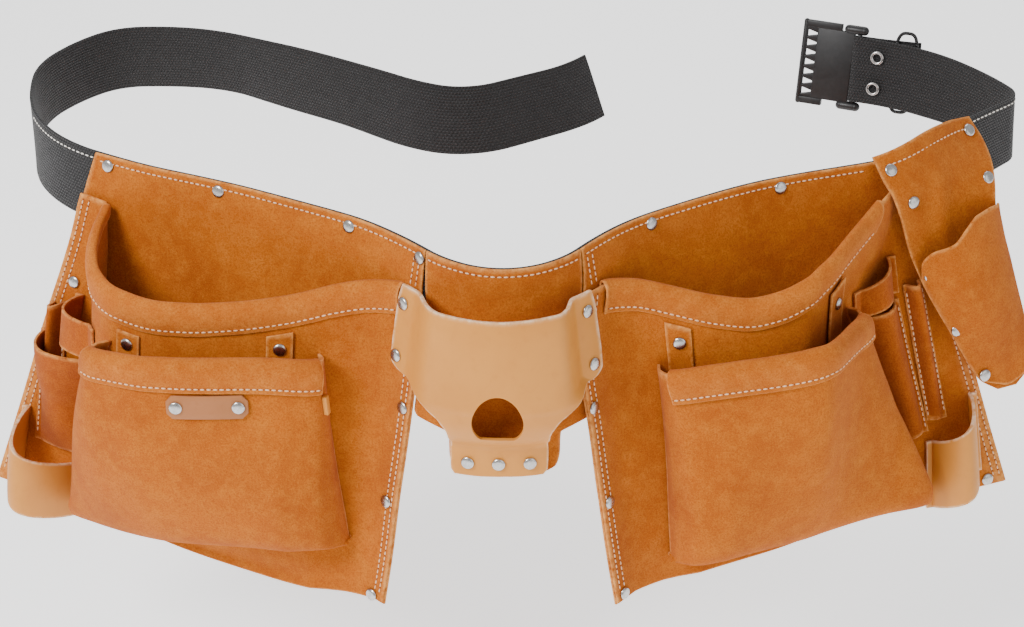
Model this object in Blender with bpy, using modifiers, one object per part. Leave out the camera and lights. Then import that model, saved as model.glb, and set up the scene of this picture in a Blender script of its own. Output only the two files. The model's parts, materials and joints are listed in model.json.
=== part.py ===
"""Leather tool belt with two bags, a tape holder, a holster and black webbing.

The belt keeps the form it has when it is worn. The origin is on the belt's inner
face at the middle of the front, half way up the webbing. +X is the right of the
front view, -Y points at the viewer and +Z is up. Sizes are metres.
"""

import math
from typing import NamedTuple

import bmesh
import bpy
from mathutils import Matrix, Vector

MM = 0.001

# Clearances between pieces that lie on each other
CLEARANCE = 0.3 * MM
RIVET_CLEARANCE = 0.7 * MM
WEBBING_CLEARANCE = 0.5 * MM
FOLD_ROOM = 0.6 * MM

# Webbing
WEBBING_WIDTH = 50 * MM
WEBBING_THICKNESS = 2.0 * MM
LEFT_STRAP = 632 * MM
RIGHT_STRAP = 204 * MM
STRAP_FOLD = 46 * MM
FOLD_RADIUS = 4.4 * MM

# Leather
SUEDE_THICKNESS = 1.8 * MM
RIM_THICKNESS = 1.5 * MM
TAN_THICKNESS = 2.4 * MM

# Belt line
CENTRE_HALF = 56 * MM
BAG_TOP = 270 * MM
HANGER_RUN = 62 * MM
FLAT_SHARE = 0.88
FRONT_TILT = 9.0

# Back panels of the bags
PANEL_BELLY = 13 * MM
PANEL_LEAN_DOWN = 100 * MM
PANEL_OUTER_FLARE = 74 * MM
PANEL_OUTER_DOWN = 276 * MM

# Large pouches
MAIN_DEPTH = 68 * MM
MAIN_LIP_HEIGHT = 30 * MM
MAIN_LIP_DIP = 40 * MM
MAIN_STANDOFF = 2.4 * MM
PULL_FROM = 20 * MM
PULL_LENGTH = 90 * MM
MAIN_RIM_WIDTH = 20 * MM
MAIN_RIM_TUCK = 6 * MM

# Front pouches
FRONT_BOTTOM_WIDTH = 222 * MM
FRONT_DEPTH = 30 * MM
FRONT_RIM_WIDTH = 21 * MM
FRONT_RIM_TUCK = 8 * MM
GUSSET_TAB_WIDTH = 17 * MM
GUSSET_TAB_END = 136 * MM

# Centre panel and tape holder
CENTRE_HEIGHT = 150 * MM
CENTRE_SIDE_ROOM = 0.8 * MM
HOLDER_TOP = 25 * MM
HOLDER_HEIGHT = 125 * MM
HOLDER_LEFT_HALF = 62 * MM
HOLDER_RIGHT_HALF = 54 * MM
HOLDER_TAB_HALF = 62 * MM
HOLDER_SHIFT = -2.5 * MM
HOLDER_LUG = 13 * MM
HOLDER_FRONT_HALF = 24 * MM
HOLDER_RIVET_DOWN = 140 * MM
HOLDER_RIVET_STEP = 14 * MM
HOLDER_DEPTH = 31 * MM
HOLDER_SEAT = 11.8 * MM
HOLE_DOWN = 99 * MM
HOLE_RADIUS = 17 * MM
HOLE_STRETCH = 1.35
HOLE_FLAT = 17 * MM

# Holster at the right
HOLSTER_BULGE = 18 * MM
HANGER_RISE = 2 * MM
HANGER_CROWN = 6

# Small leather pieces
PLATE_WIDTH = 54 * MM
PLATE_HEIGHT = 17 * MM
PLATE_CLIP = 4 * MM
PLATE_THICKNESS = 1.8 * MM
SIDE_TAB_REACH = 3.4 * MM
SIDE_TAB_HEIGHT = 14 * MM
SIDE_TAB_THICKNESS = 4 * MM
PLATE_PLACE = (0.46, 0.135)
SIDE_TAB_PLACE = (0.11, 0.14)

# Hardware
RIVET_RADIUS = 4.6 * MM
RIVET_HEIGHT = 1.5 * MM
BUCKLE_HEIGHT = 62 * MM
BUCKLE_LENGTH = 46 * MM
BUCKLE_LEAN = -6.0
BUCKLE_THICKNESS = 2.8 * MM
BUCKLE_BAR = 2.8 * MM
TOOTH_COUNT = 7
TOOTH_LENGTH = 10 * MM
EYELET_RADIUS = 4.2 * MM
EYELET_WIRE = 1.1 * MM
EYELET_BACK = 16 * MM
RING_WIRE = 1.3 * MM
RING_BACK = 36 * MM
RING_ROOM = 1.2 * MM


class Turn(NamedTuple):
    """One arc of the belt line: its share of the run, its turn and the tilt at its end."""

    share: float
    turn: float
    tilt: float


RIGHT_RUNS = (
    (CENTRE_HALF, (Turn(0.5, 30, 10), Turn(0.5, 22, 11))),
    (BAG_TOP, (Turn(0.26, -18, 14), Turn(0.37, -14, 14), Turn(0.26, -2, 14), Turn(0.11, 22, 14))),
    (HANGER_RUN, (Turn(0.65, 4, 14), Turn(0.35, -1, 12))),
    (
        RIGHT_STRAP,
        (
            Turn(0.26, -2, 7),
            Turn(0.10, 76, 2),
            Turn(0.13, 14, -4),
            Turn(0.22, 10, -12),
            Turn(0.29, 22, -17),
        ),
    ),
)
LEFT_RUNS = (
    (CENTRE_HALF, (Turn(0.5, 28, 10), Turn(0.5, 20, 11))),
    (BAG_TOP, (Turn(0.26, -18, 14), Turn(0.38, -7, 14), Turn(0.36, 4, 14))),
    (
        LEFT_STRAP,
        (
            Turn(0.107, 34, 6),
            Turn(0.064, 20, 0),
            Turn(0.043, 6, 0),
            Turn(0.061, 32, 0),
            Turn(0.068, 18, -2),
            Turn(0.062, 42, -4),
            Turn(0.127, 26, -5),
            Turn(0.113, 4, -12),
            Turn(0.100, 4, -18),
            Turn(0.054, -14, -22),
            Turn(0.070, -48, -24),
            Turn(0.067, 0, -24),
            Turn(0.064, -22, -24),
        ),
    ),
)


class Mouth(NamedTuple):
    """A station of the large pouch's mouth, in shares of its width, depth and dip."""

    across: float
    out: float
    dip: float


LEFT_MOUTH = (
    Mouth(0.000, 0.00, 0.00),
    Mouth(0.050, 0.00, 0.02),
    Mouth(0.120, 0.08, 0.12),
    Mouth(0.220, 0.29, 0.33),
    Mouth(0.330, 0.50, 0.62),
    Mouth(0.460, 0.76, 0.86),
    Mouth(0.570, 0.92, 0.97),
    Mouth(0.670, 1.00, 1.00),
    Mouth(0.760, 0.98, 0.95),
    Mouth(0.835, 0.84, 0.82),
    Mouth(0.890, 0.58, 0.58),
    Mouth(0.925, 0.28, 0.30),
    Mouth(0.942, 0.05, 0.10),
    Mouth(0.955, 0.00, 0.04),
    Mouth(1.000, 0.00, 0.00),
)
RIGHT_MOUTH = (
    Mouth(0.000, 0.00, 0.00),
    Mouth(0.050, 0.00, 0.02),
    Mouth(0.120, 0.12, 0.16),
    Mouth(0.210, 0.34, 0.42),
    Mouth(0.310, 0.56, 0.66),
    Mouth(0.410, 0.74, 0.78),
    Mouth(0.500, 0.84, 0.72),
    Mouth(0.580, 0.86, 0.60),
    Mouth(0.660, 0.77, 0.42),
    Mouth(0.700, 0.68, 0.33),
    Mouth(0.740, 0.57, 0.22),
    Mouth(0.810, 0.38, 0.02),
    Mouth(0.870, 0.23, -0.17),
    Mouth(0.915, 0.11, -0.28),
    Mouth(0.945, 0.02, -0.33),
    Mouth(0.960, 0.00, -0.34),
    Mouth(1.000, 0.00, -0.34),
)


class Fall(NamedTuple):
    """How much of its depth a pouch keeps at a share of its height."""

    down: float
    out: float


MAIN_FALL = (
    Fall(0.00, 1.00),
    Fall(0.15, 1.00),
    Fall(0.35, 0.90),
    Fall(0.55, 0.70),
    Fall(0.75, 0.40),
    Fall(0.90, 0.13),
    Fall(0.97, 0.00),
    Fall(1.00, 0.00),
)


class Face(NamedTuple):
    """A row of the front pouch from lip to floor seam: shares of its height and depth."""

    row: float
    down: float
    out: float


FRONT_ROWS = (
    Face(0.00, 0.000, 0.80),
    Face(0.20, 0.220, 0.90),
    Face(0.45, 0.500, 1.00),
    Face(0.68, 0.760, 1.05),
    Face(0.82, 0.920, 1.00),
    Face(0.90, 0.990, 0.82),
    Face(0.95, 1.000, 0.45),
    Face(1.00, 0.985, 0.00),
)


class Gusset(NamedTuple):
    """A station round the front pouch, in shares of its width and depth."""

    around: float
    across: float
    out: float


FRONT_SECTION = (
    Gusset(0.00, 0.000, 0.00),
    Gusset(0.07, -0.020, 0.50),
    Gusset(0.13, -0.005, 0.92),
    Gusset(0.20, 0.060, 1.06),
    Gusset(0.50, 0.500, 1.00),
    Gusset(0.80, 0.940, 1.06),
    Gusset(0.87, 1.005, 0.92),
    Gusset(0.93, 1.020, 0.50),
    Gusset(1.00, 1.000, 0.00),
)


class Outline(NamedTuple):
    """A row of the tape holder: shares of its height, half width, depth and seat."""

    down: float
    half: float
    out: float
    seat: float


HOLDER_ROWS = (
    Outline(0.00, 0.97, 0.92, 1.0),
    Outline(0.10, 1.00, 0.98, 1.0),
    Outline(0.30, 1.00, 1.00, 1.0),
    Outline(0.44, 0.98, 0.99, 1.0),
    Outline(0.48, 0.86, 0.98, 1.0),
    Outline(0.50, 0.62, 0.97, 1.0),
    Outline(0.54, 0.46, 0.94, 0.9),
    Outline(0.61, 0.36, 0.84, 0.8),
    Outline(0.69, 0.33, 0.62, 0.62),
    Outline(0.74, 0.34, 0.40, 0.48),
    Outline(0.79, 0.35, 0.12, 0.32),
    Outline(0.84, 0.36, 0.02, 0.23),
    Outline(0.97, 0.35, 0.00, 0.20),
    Outline(1.00, 0.32, 0.00, 0.20),
)


class Side(NamedTuple):
    """A row of a flat panel's outline: height from the belt's top and half width."""

    down: float
    half: float


CENTRE_OUTLINE = (
    Side(0.00, 1.00),
    Side(0.16, 0.94),
    Side(0.33, 0.82),
    Side(0.42, 0.76),
    Side(0.52, 0.90),
    Side(0.765, 0.90),
    Side(0.79, 0.86),
    Side(0.80, 0.66),
    Side(0.815, 0.50),
    Side(0.93, 0.47),
    Side(0.98, 0.43),
    Side(1.00, 0.34),
)


class Strip(NamedTuple):
    """A row of the holster hanger: height, its two edges along the belt, how far out."""

    down: float
    inner: float
    outer: float
    out: float


HANGER_ROWS = (
    Strip(-5, 237, 331, 7.5),
    Strip(10, 241, 333, 15.0),
    Strip(24, 246, 331, 19.5),
    Strip(44, 251, 328, 19.5),
    Strip(66, 256, 331, 19.5),
    Strip(90, 264, 336, 20.5),
    Strip(135, 286, 345, 22.0),
    Strip(160, 298, 350, 22.0),
    Strip(176, 308, 348, 22.0),
    Strip(186, 322, 338, 22.0),
)


class Rim(NamedTuple):
    """A place on the holster's slanted mouth: share across, and down from the belt's top."""

    across: float
    down: float


HOLSTER_MOUTH = (
    Rim(0.00, 88),
    Rim(0.05, 73),
    Rim(0.16, 65),
    Rim(0.34, 61),
    Rim(0.50, 51),
    Rim(0.64, 44),
    Rim(0.80, 43),
    Rim(1.00, 46),
)


class Arch(NamedTuple):
    """A band or tube that stands out from the bag between two seams.

    The places are millimetres along the belt and down from its top edge. It keeps
    the share `shut` of its bulge at its lower edge.
    """

    inner: float
    outer: float
    foot_inner: float
    foot_outer: float
    top_inner: float
    top_outer: float
    low_inner: float
    low_outer: float
    bulge: float
    shut: float


class Hang(NamedTuple):
    """What differs between the two bags, since each one hangs in its own way."""

    side: int
    lean: float
    pull: float
    inner_height: float
    outer_height: float
    inset: float
    bottom_inset: float
    top_width: float
    spread: float
    side_tuck: float
    top_inner: float
    top_outer: float
    bottom_inner: float
    bottom_outer: float
    tabs: tuple
    rivets: tuple
    side_loop: Arch
    pencil_sleeve: Arch
    tool_pocket: Arch
    hammer_loop: Arch
    mouth: tuple
    rim_stop: int


LEFT_HANG = Hang(
    side=-1,
    lean=9 * MM,
    pull=0 * MM,
    inner_height=270 * MM,
    outer_height=270 * MM,
    inset=54 * MM,
    bottom_inset=34 * MM,
    top_width=153 * MM,
    spread=0.95,
    side_tuck=0.09,
    top_inner=90 * MM,
    top_outer=104 * MM,
    bottom_inner=230 * MM,
    bottom_outer=266 * MM,
    tabs=((38, 0.6), (13, 0.6)),
    rivets=((4, 7), (255, 7), (-3, 115), (0, 190), (3, -4), (282, 99)),
    side_loop=Arch(233, 272, 233, 274, 104, 106, 131, 134, 16, 1.0),
    pencil_sleeve=Arch(289, 296, 290, 297, 115, 117, 200, 200, 12, 0.1),
    tool_pocket=Arch(242, 301, 264, 303, 139, 139, 228, 226, 22, 0.1),
    hammer_loop=Arch(273, 314, 273, 318, 236, 203, 278, 256, 44, 0.9),
    mouth=LEFT_MOUTH,
    rim_stop=2,
)
RIGHT_HANG = Hang(
    side=1,
    lean=21 * MM,
    pull=22 * MM,
    inner_height=266 * MM,
    outer_height=262 * MM,
    inset=36 * MM,
    bottom_inset=42 * MM,
    top_width=166 * MM,
    spread=0.92,
    side_tuck=0.05,
    top_inner=99 * MM,
    top_outer=92 * MM,
    bottom_inner=250 * MM,
    bottom_outer=254 * MM,
    tabs=((22, 0.6), (16, 1.5)),
    rivets=((-16, 110), (-14, 186), (-13, -6), (324, -6)),
    side_loop=Arch(217, 247, 219, 249, 84, 70, 106, 98, 10, 1.0),
    pencil_sleeve=Arch(263, 270, 279, 287, 93, 91, 200, 200, 9, 0.1),
    tool_pocket=Arch(225, 250, 263, 271, 108, 102, 212, 208, 11, 0.1),
    hammer_loop=Arch(280, 309, 280, 312, 216, 185, 268, 246, 28, 0.9),
    mouth=RIGHT_MOUTH,
    rim_stop=4,
)


def smooth(rows, column, share):
    """A smooth curve through a table's column, read at a share of its first column."""
    xs = [row[0] for row in rows]
    ys = [getattr(row, column) for row in rows]
    i = min(max(sum(x <= share for x in xs) - 1, 0), len(xs) - 2)
    step = xs[i + 1] - xs[i]
    t = min(max((share - xs[i]) / step, 0.0), 1.0)
    rise = (ys[i + 1] - ys[i]) / step

    def slope(k):
        if k <= 0 or k >= len(xs) - 1:
            return rise
        before = (ys[k] - ys[k - 1]) / (xs[k] - xs[k - 1])
        after = (ys[k + 1] - ys[k]) / (xs[k + 1] - xs[k])
        if before * after <= 0:
            return 0.0
        return 2 * before * after / (before + after)

    a, b = slope(i) * step, slope(i + 1) * step
    t2, t3 = t * t, t * t * t
    level = ys[i] * (2 * t3 - 3 * t2 + 1) + ys[i + 1] * (3 * t2 - 2 * t3)
    return level + a * (t3 - 2 * t2 + t) + b * (t3 - t2)


def ease(x):
    """0 to 1 with level ends."""
    x = min(max(x, 0.0), 1.0)
    return x * x * (3 - 2 * x)


def mix(a, b, t):
    """The value at share t between a and b."""
    return a + (b - a) * t


def stations(values, longest):
    """The values with more put between those that are further apart than the longest."""
    found = [values[0]]
    for before, after in zip(values, values[1:]):
        count = max(1, math.ceil((after - before) / longest - 1e-6))
        found.extend(mix(before, after, (k + 1) / count) for k in range(count))
    return found


def share_of(values, value):
    """The share of the stations' count at a value, the other way round."""
    i = max(k for k in range(len(values) - 1) if values[k] <= value + 1e-9)
    return (i + (value - values[i]) / (values[i + 1] - values[i])) / (len(values) - 1)


def at_station(values, share):
    """The value at a share of the stations' count."""
    k = share * (len(values) - 1)
    i = min(int(k + 1e-6), len(values) - 2)
    return mix(values[i], values[i + 1], k - i)


class BeltLine:
    """The top edge of the belt in plan, as a chain of arcs from the middle of the front."""

    def __init__(self, side, runs):
        self.side = side
        self.arcs = []
        x, y, heading, run, tilt = 0.0, self.top_set_back(), 0.0, 0.0, FRONT_TILT
        for length, turns in runs:
            for turn in turns:
                span = length * turn.share
                bend = math.radians(turn.turn)
                self.arcs.append((run, span, x, y, heading, bend, tilt, turn.tilt))
                chord, mid = self.chord(span, bend, 1.0), heading + bend / 2
                x, y = x + chord * math.cos(mid), y + chord * math.sin(mid)
                heading, run, tilt = heading + bend, run + span, turn.tilt
        self.length = run

    @staticmethod
    def top_set_back():
        """How far the top edge lies behind the origin, so that the belt's middle is at it."""
        return WEBBING_WIDTH / 2 * math.sin(math.radians(FRONT_TILT))

    @staticmethod
    def chord(span, bend, share):
        half = bend * share / 2
        return span * share * (math.sin(half) / half if abs(half) > 1e-6 else 1.0)

    def at(self, run, lowest, highest):
        """The plan point, heading and tilt at a run, on straight tangents outside the limits."""
        held = min(max(run, lowest), highest)
        found = self.arcs[0]
        for arc in self.arcs:
            if arc[0] <= held + 1e-9:
                found = arc
        start, span, x, y, heading, bend, tilt, end_tilt = found
        share = min((held - start) / span, 1.0)
        chord, mid = self.chord(span, bend, share), heading + bend * share / 2
        x, y = x + chord * math.cos(mid), y + chord * math.sin(mid)
        heading += bend * share
        x, y = x + (run - held) * math.cos(heading), y + (run - held) * math.sin(heading)
        return x, y, heading, math.radians(mix(tilt, end_tilt, share))

    def columns(self):
        """Runs at which the line is cut, closer together where it bends or bears leather."""
        cuts = [0.0]
        for start, span, _, _, _, bend, _, _ in self.arcs:
            longest = 20 * MM if start < CENTRE_HALF + BAG_TOP - MM else 40 * MM
            count = math.ceil(max(abs(math.degrees(bend)) / 12, span / longest) - 1e-6)
            cuts.extend(start + span * (k + 1) / count for k in range(count))
        return cuts


class Drape:
    """The surface that hangs from the belt line: along it, down from it and out from it."""

    def __init__(self, line, lowest, highest):
        self.line, self.lowest, self.highest = line, lowest, highest

    def point(self, run, down, out):
        x, y, heading, tilt = self.line.at(run, self.lowest, self.highest)
        away = down * math.sin(tilt) + out * math.cos(tilt)
        height = WEBBING_WIDTH / 2 * math.cos(math.radians(FRONT_TILT))
        return Vector(
            (
                self.line.side * (x + away * math.sin(heading)),
                y - away * math.cos(heading),
                height - down * math.cos(tilt) + out * math.sin(tilt),
            )
        )


LINES = {1: BeltLine(1, RIGHT_RUNS), -1: BeltLine(-1, LEFT_RUNS)}


def ribbon_point(run, down, out):
    """The surface all along the belt: run counts from the middle, positive to the right."""
    line = LINES[1 if run >= 0 else -1]
    return Drape(line, 0.0, line.length).point(abs(run), down, out)


class Skin:
    """A surface of two shares, which further layers are laid on."""

    def __init__(self, place, outward=1):
        self.place, self.outward = place, outward

    def normal(self, u, v, step=4e-3):
        du = self.place(min(u + step, 1), v) - self.place(max(u - step, 0), v)
        dv = self.place(u, min(v + step, 1)) - self.place(u, max(v - step, 0))
        return du.cross(dv).normalized() * self.outward

    def lifted(self, u, v, distance):
        return self.place(u, v) + self.normal(u, v) * distance


def material(name, colour, roughness, metallic=0.0):
    found = bpy.data.materials.get(name)
    if found:
        return found
    made = bpy.data.materials.new(name)
    made.use_nodes = True
    shader = made.node_tree.nodes["Principled BSDF"]
    shader.inputs["Base Color"].default_value = (*colour, 1)
    shader.inputs["Roughness"].default_value = roughness
    shader.inputs["Metallic"].default_value = metallic
    return made


def suede():
    return material("suede", (0.61, 0.21, 0.04), 0.9)


def smooth_leather():
    return material("smooth_leather", (0.84, 0.51, 0.22), 0.5)


def black_webbing():
    return material("black_webbing", (0.013, 0.012, 0.012), 0.8)


def black_plastic():
    return material("black_plastic", (0.012, 0.011, 0.011), 0.4)


def nickel():
    return material("nickel", (0.62, 0.6, 0.58), 0.25, 1.0)


def collection(name):
    found = bpy.data.collections.get(name)
    if found is None:
        found = bpy.data.collections.new(name)
        bpy.context.scene.collection.children.link(found)
    return found


def add_object(name, shape, finish, group="tool_belt"):
    """Turns a bmesh into one named sub-part, shaded smooth up to its sharp edges."""
    mesh = bpy.data.meshes.new(name)
    shape.to_mesh(mesh)
    shape.free()
    mesh.materials.append(finish)
    mesh.shade_smooth()
    mesh.set_sharp_from_angle(angle=math.radians(40))
    made = bpy.data.objects.new(name, mesh)
    collection(group).objects.link(made)
    return made


def sheet(name, skin, columns, rows, thickness, finish):
    """A wall of leather: a grid laid on the skin's back face and thickened outwards."""
    shape = bmesh.new()
    bmesh.ops.create_grid(shape, x_segments=columns, y_segments=rows, size=0.5)
    for vertex in shape.verts:
        vertex.co = skin.place(vertex.co.x + 0.5, vertex.co.y + 0.5)
    if skin.outward < 0:
        bmesh.ops.reverse_faces(shape, faces=shape.faces)
    made = add_object(name, shape, finish)
    shell = made.modifiers.new("thickness", "SOLIDIFY")
    shell.thickness = thickness
    shell.offset = 1
    shell.use_even_offset = True
    return made


def facing(normal, upward=Vector((0, 0, 1))):
    """A rotation whose Z is the normal and whose Y is as near upward as it can be."""
    z = normal.normalized()
    x = upward.cross(z).normalized()
    return Matrix((x, z.cross(x), z)).transposed().to_4x4()


def rivet(name, leather, near, normal):
    """A low nickel cap that sits on the leather, at its face nearest to a place."""
    graph = bpy.context.evaluated_depsgraph_get()
    _, seat, facet, _ = leather.evaluated_get(graph).closest_point_on_mesh(near + normal * 3 * MM)
    shape = bmesh.new()
    bmesh.ops.create_cone(
        shape,
        cap_ends=True,
        segments=12,
        radius1=RIVET_RADIUS,
        radius2=RIVET_RADIUS * 0.74,
        depth=RIVET_HEIGHT,
    )
    made = add_object(name, shape, nickel())
    away = RIVET_CLEARANCE + RIVET_HEIGHT / 2
    made.matrix_world = Matrix.Translation(seat + facet * away) @ facing(facet)
    return made


PANEL_LIFT = WEBBING_THICKNESS + WEBBING_CLEARANCE
WALL_LIFT = PANEL_LIFT + SUEDE_THICKNESS + CLEARANCE
ON_SUEDE = SUEDE_THICKNESS + CLEARANCE


class Bag:
    """One bag: its panel, large pouch, front pouch and what hangs at its outer side."""

    def __init__(self, hang):
        self.hang = hang
        self.name = "right" if hang.side > 0 else "left"
        self.drape = Drape(LINES[hang.side], CENTRE_HALF, CENTRE_HALF + BAG_TOP * FLAT_SHARE)
        self.turn = -hang.side

    def point(self, along, down, out):
        return self.drape.point(CENTRE_HALF + along, down, out)

    def inner_edge(self, down):
        return -self.hang.lean * ease(down / PANEL_LEAN_DOWN)

    def outer_edge(self, down):
        return BAG_TOP + PANEL_OUTER_FLARE * down / PANEL_OUTER_DOWN

    def bottom(self, across):
        slope = mix(self.hang.inner_height, self.hang.outer_height, across)
        return slope + PANEL_BELLY * math.sin(math.pi * across)

    def drawn_along(self, across, down):
        """Along the belt, with the outer part drawn inwards below the mouth."""
        drawn = ease((across - 0.45) / 0.4) * ease((down - PULL_FROM) / PULL_LENGTH)
        return across * BAG_TOP - self.hang.pull * drawn

    def pouch_along(self, across, down):
        """Along the belt at a share of the panel's width, at this height.

        The pouch's outer foot hangs straight down, and the flat margin beyond it
        follows the flaring edge of the panel.
        """
        mouth = self.hang.mouth
        foot = mouth[-2].across
        if across <= foot:
            spread = max(1 - across / mouth[2].across, 0.0)
            return self.drawn_along(across, down) + self.inner_edge(down) * spread
        at_foot = self.drawn_along(foot, down)
        return mix(at_foot, self.outer_edge(down), (across - foot) / (1 - foot))

    def across_at(self, along, down):
        """The share of the panel's width at a place along the belt, the other way round."""
        low, high = 0.0, 1.0
        for _ in range(30):
            middle = (low + high) / 2
            if self.pouch_along(middle, down) < along:
                low = middle
            else:
                high = middle
        return (low + high) / 2

    def panel(self):
        """The back panel, cut at the same places as the pouch's wall that lies on it."""
        columns = self.columns()
        rows = stations([0.0, 0.12, 1.0], 0.3)

        def place(u, v):
            across = at_station(columns, u)
            down = self.bottom(across) * at_station(rows, v)
            return self.point(self.pouch_along(across, down), down, PANEL_LIFT)

        return Skin(place, self.turn), len(columns) - 1, len(rows) - 1

    def columns(self):
        return stations([row.across for row in self.hang.mouth], 0.08)

    def lip(self, across):
        return MAIN_LIP_HEIGHT + MAIN_LIP_DIP * smooth(self.hang.mouth, "dip", across)

    def wall_out(self, across, down):
        """How far the back face of the large pouch's wall stands from the belt."""
        lip = self.lip(across)
        share = (down - lip) / (self.bottom(across) - lip)
        bulge = MAIN_DEPTH * smooth(self.hang.mouth, "out", across) * smooth(MAIN_FALL, "out", share)
        stand = MAIN_STANDOFF * (1 - ease((down - lip) / (2 * MAIN_RIM_WIDTH)))
        return WALL_LIFT + bulge + stand

    def lay(self, along, down, lift):
        """A place on the large pouch's wall, lifted off its back face, and its normal."""

        def on(a, d):
            return self.point(a, d, self.wall_out(self.across_at(a, d), d))

        step = 0.5 * MM
        du = on(along + step, down) - on(along - step, down)
        dv = on(along, down + step) - on(along, down - step)
        normal = du.cross(dv).normalized() * self.turn
        return on(along, down) + normal * lift, normal

    def main_wall(self):
        columns = self.columns()
        rows = [row.down for row in MAIN_FALL]

        def place(u, v):
            across = at_station(columns, u)
            lip = self.lip(across)
            down = mix(lip, self.bottom(across) - 1.5 * MM, at_station(rows, v))
            return self.point(self.pouch_along(across, down), down, self.wall_out(across, down))

        return Skin(place, self.turn), len(columns) - 1, len(rows) - 1

    def front_wall(self):
        hang = self.hang
        columns = stations([row.around for row in FRONT_SECTION], 0.075)
        rows = [row.row for row in FRONT_ROWS]

        def place(u, v):
            around, row = at_station(columns, u), at_station(rows, v)
            fall = smooth(FRONT_ROWS, "down", row)
            left = mix(hang.inset, hang.bottom_inset, fall)
            width = mix(hang.top_width, FRONT_BOTTOM_WIDTH, min(fall / hang.spread, 1.0))
            across = smooth(FRONT_SECTION, "across", around)
            if around < 0.5:
                behind = 1 - min(smooth(FRONT_SECTION, "out", around), 1.0)
                across += hang.side_tuck * behind * (1 - fall)
            inside = min(max(across, 0.0), 1.0)
            top = mix(hang.top_inner, hang.top_outer, inside)
            low = mix(hang.bottom_inner, hang.bottom_outer, inside)
            along = left + width * across
            down = mix(top, low, fall)
            depth = smooth(FRONT_SECTION, "out", around) * smooth(FRONT_ROWS, "out", row)
            base, _ = self.lay(along, down, ON_SUEDE + 3 * CLEARANCE)
            away = self.point(along, down, 1.0) - self.point(along, down, 0.0)
            return base + away * (FRONT_DEPTH * depth)

        return Skin(place, self.turn), len(columns) - 1, len(rows) - 1

    def rim(self, wall, rows, outer_leg, inner_leg, ends, room=FOLD_ROOM):
        """A strip folded over a wall's lip: a long outer leg and a short inner one.

        The ends are shares of the wall's columns, and the legs lie on its first row, so
        that both are cut at the same places.
        """
        proud = SUEDE_THICKNESS + room
        path = (
            (outer_leg, proud),
            (outer_leg * 0.5, proud + 0.3 * MM),
            (outer_leg * 0.1, proud),
            (-0.5 * MM, SUEDE_THICKNESS + CLEARANCE),
            (-0.9 * MM, SUEDE_THICKNESS / 2),
            (-0.5 * MM, -CLEARANCE),
            (inner_leg, -room),
        )
        steps = len(path) - 1

        def place(u, v):
            k = (1 - v) * steps
            i = min(int(k + 1e-6), steps - 1)
            down = mix(path[i][0], path[i + 1][0], k - i)
            lift = mix(path[i][1], path[i + 1][1], k - i)
            around = mix(ends[0], ends[1], u)
            lip = wall.place(around, 0)
            hang = (wall.place(around, 1 / rows) - lip).normalized()
            return lip + hang * down + wall.normal(around, 0.5 / rows) * lift

        return Skin(place, self.turn), steps

    def tab_along(self, place, inward):
        """Along the belt, measured inwards from the front pouch's foot at that end."""
        if place == "inner":
            return self.hang.inset + inward
        return self.hang.inset + self.hang.top_width - inward

    def tab(self, along, lift):
        """A strip on the large pouch's wall, from under its rim to behind the front pouch."""
        half = GUSSET_TAB_WIDTH / 2

        def place(u, v):
            a = along + mix(-half, half, u)
            top = self.lip(self.across_at(a, 60 * MM)) + MAIN_RIM_WIDTH + 4.5 * MM
            return self.lay(a, mix(top, GUSSET_TAB_END, v), SUEDE_THICKNESS + lift)[0]

        return Skin(place, self.turn)

    def arch(self, shape, flap):
        """A band whose two ends lie on the wall, with the bulge between them."""
        turn_share = 0.14

        def place(u, v):
            a0 = mix(shape.inner, shape.foot_inner, v) * MM
            a1 = mix(shape.outer, shape.foot_outer, v) * MM
            share = min(max((u - turn_share) / (1 - 2 * turn_share), 0.0), 1.0)
            top = mix(shape.top_inner, shape.top_outer, share) * MM
            low = mix(shape.low_inner, shape.low_outer, share) * MM
            down = mix(top, low, v)
            lift = ON_SUEDE + 2 * CLEARANCE
            if u < turn_share:
                return self.lay(a0 - flap * (1 - u / turn_share), down, lift)[0]
            if u > 1 - turn_share:
                return self.lay(a1 + flap * (1 - (1 - u) / turn_share), down, lift)[0]
            start, end = self.lay(a0, down, lift)[0], self.lay(a1, down, lift)[0]
            along = (end - start).normalized()
            away = self.point(a0, down, 1.0) - self.point(a0, down, 0.0)
            away = (away - along * away.dot(along)).normalized()
            bulge = shape.bulge * MM * mix(1.0, shape.shut, v**3)
            swell = math.sin(math.pi * share) ** 0.75
            return start.lerp(end, share) + away * (bulge * swell)

        return Skin(place, self.turn)


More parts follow.
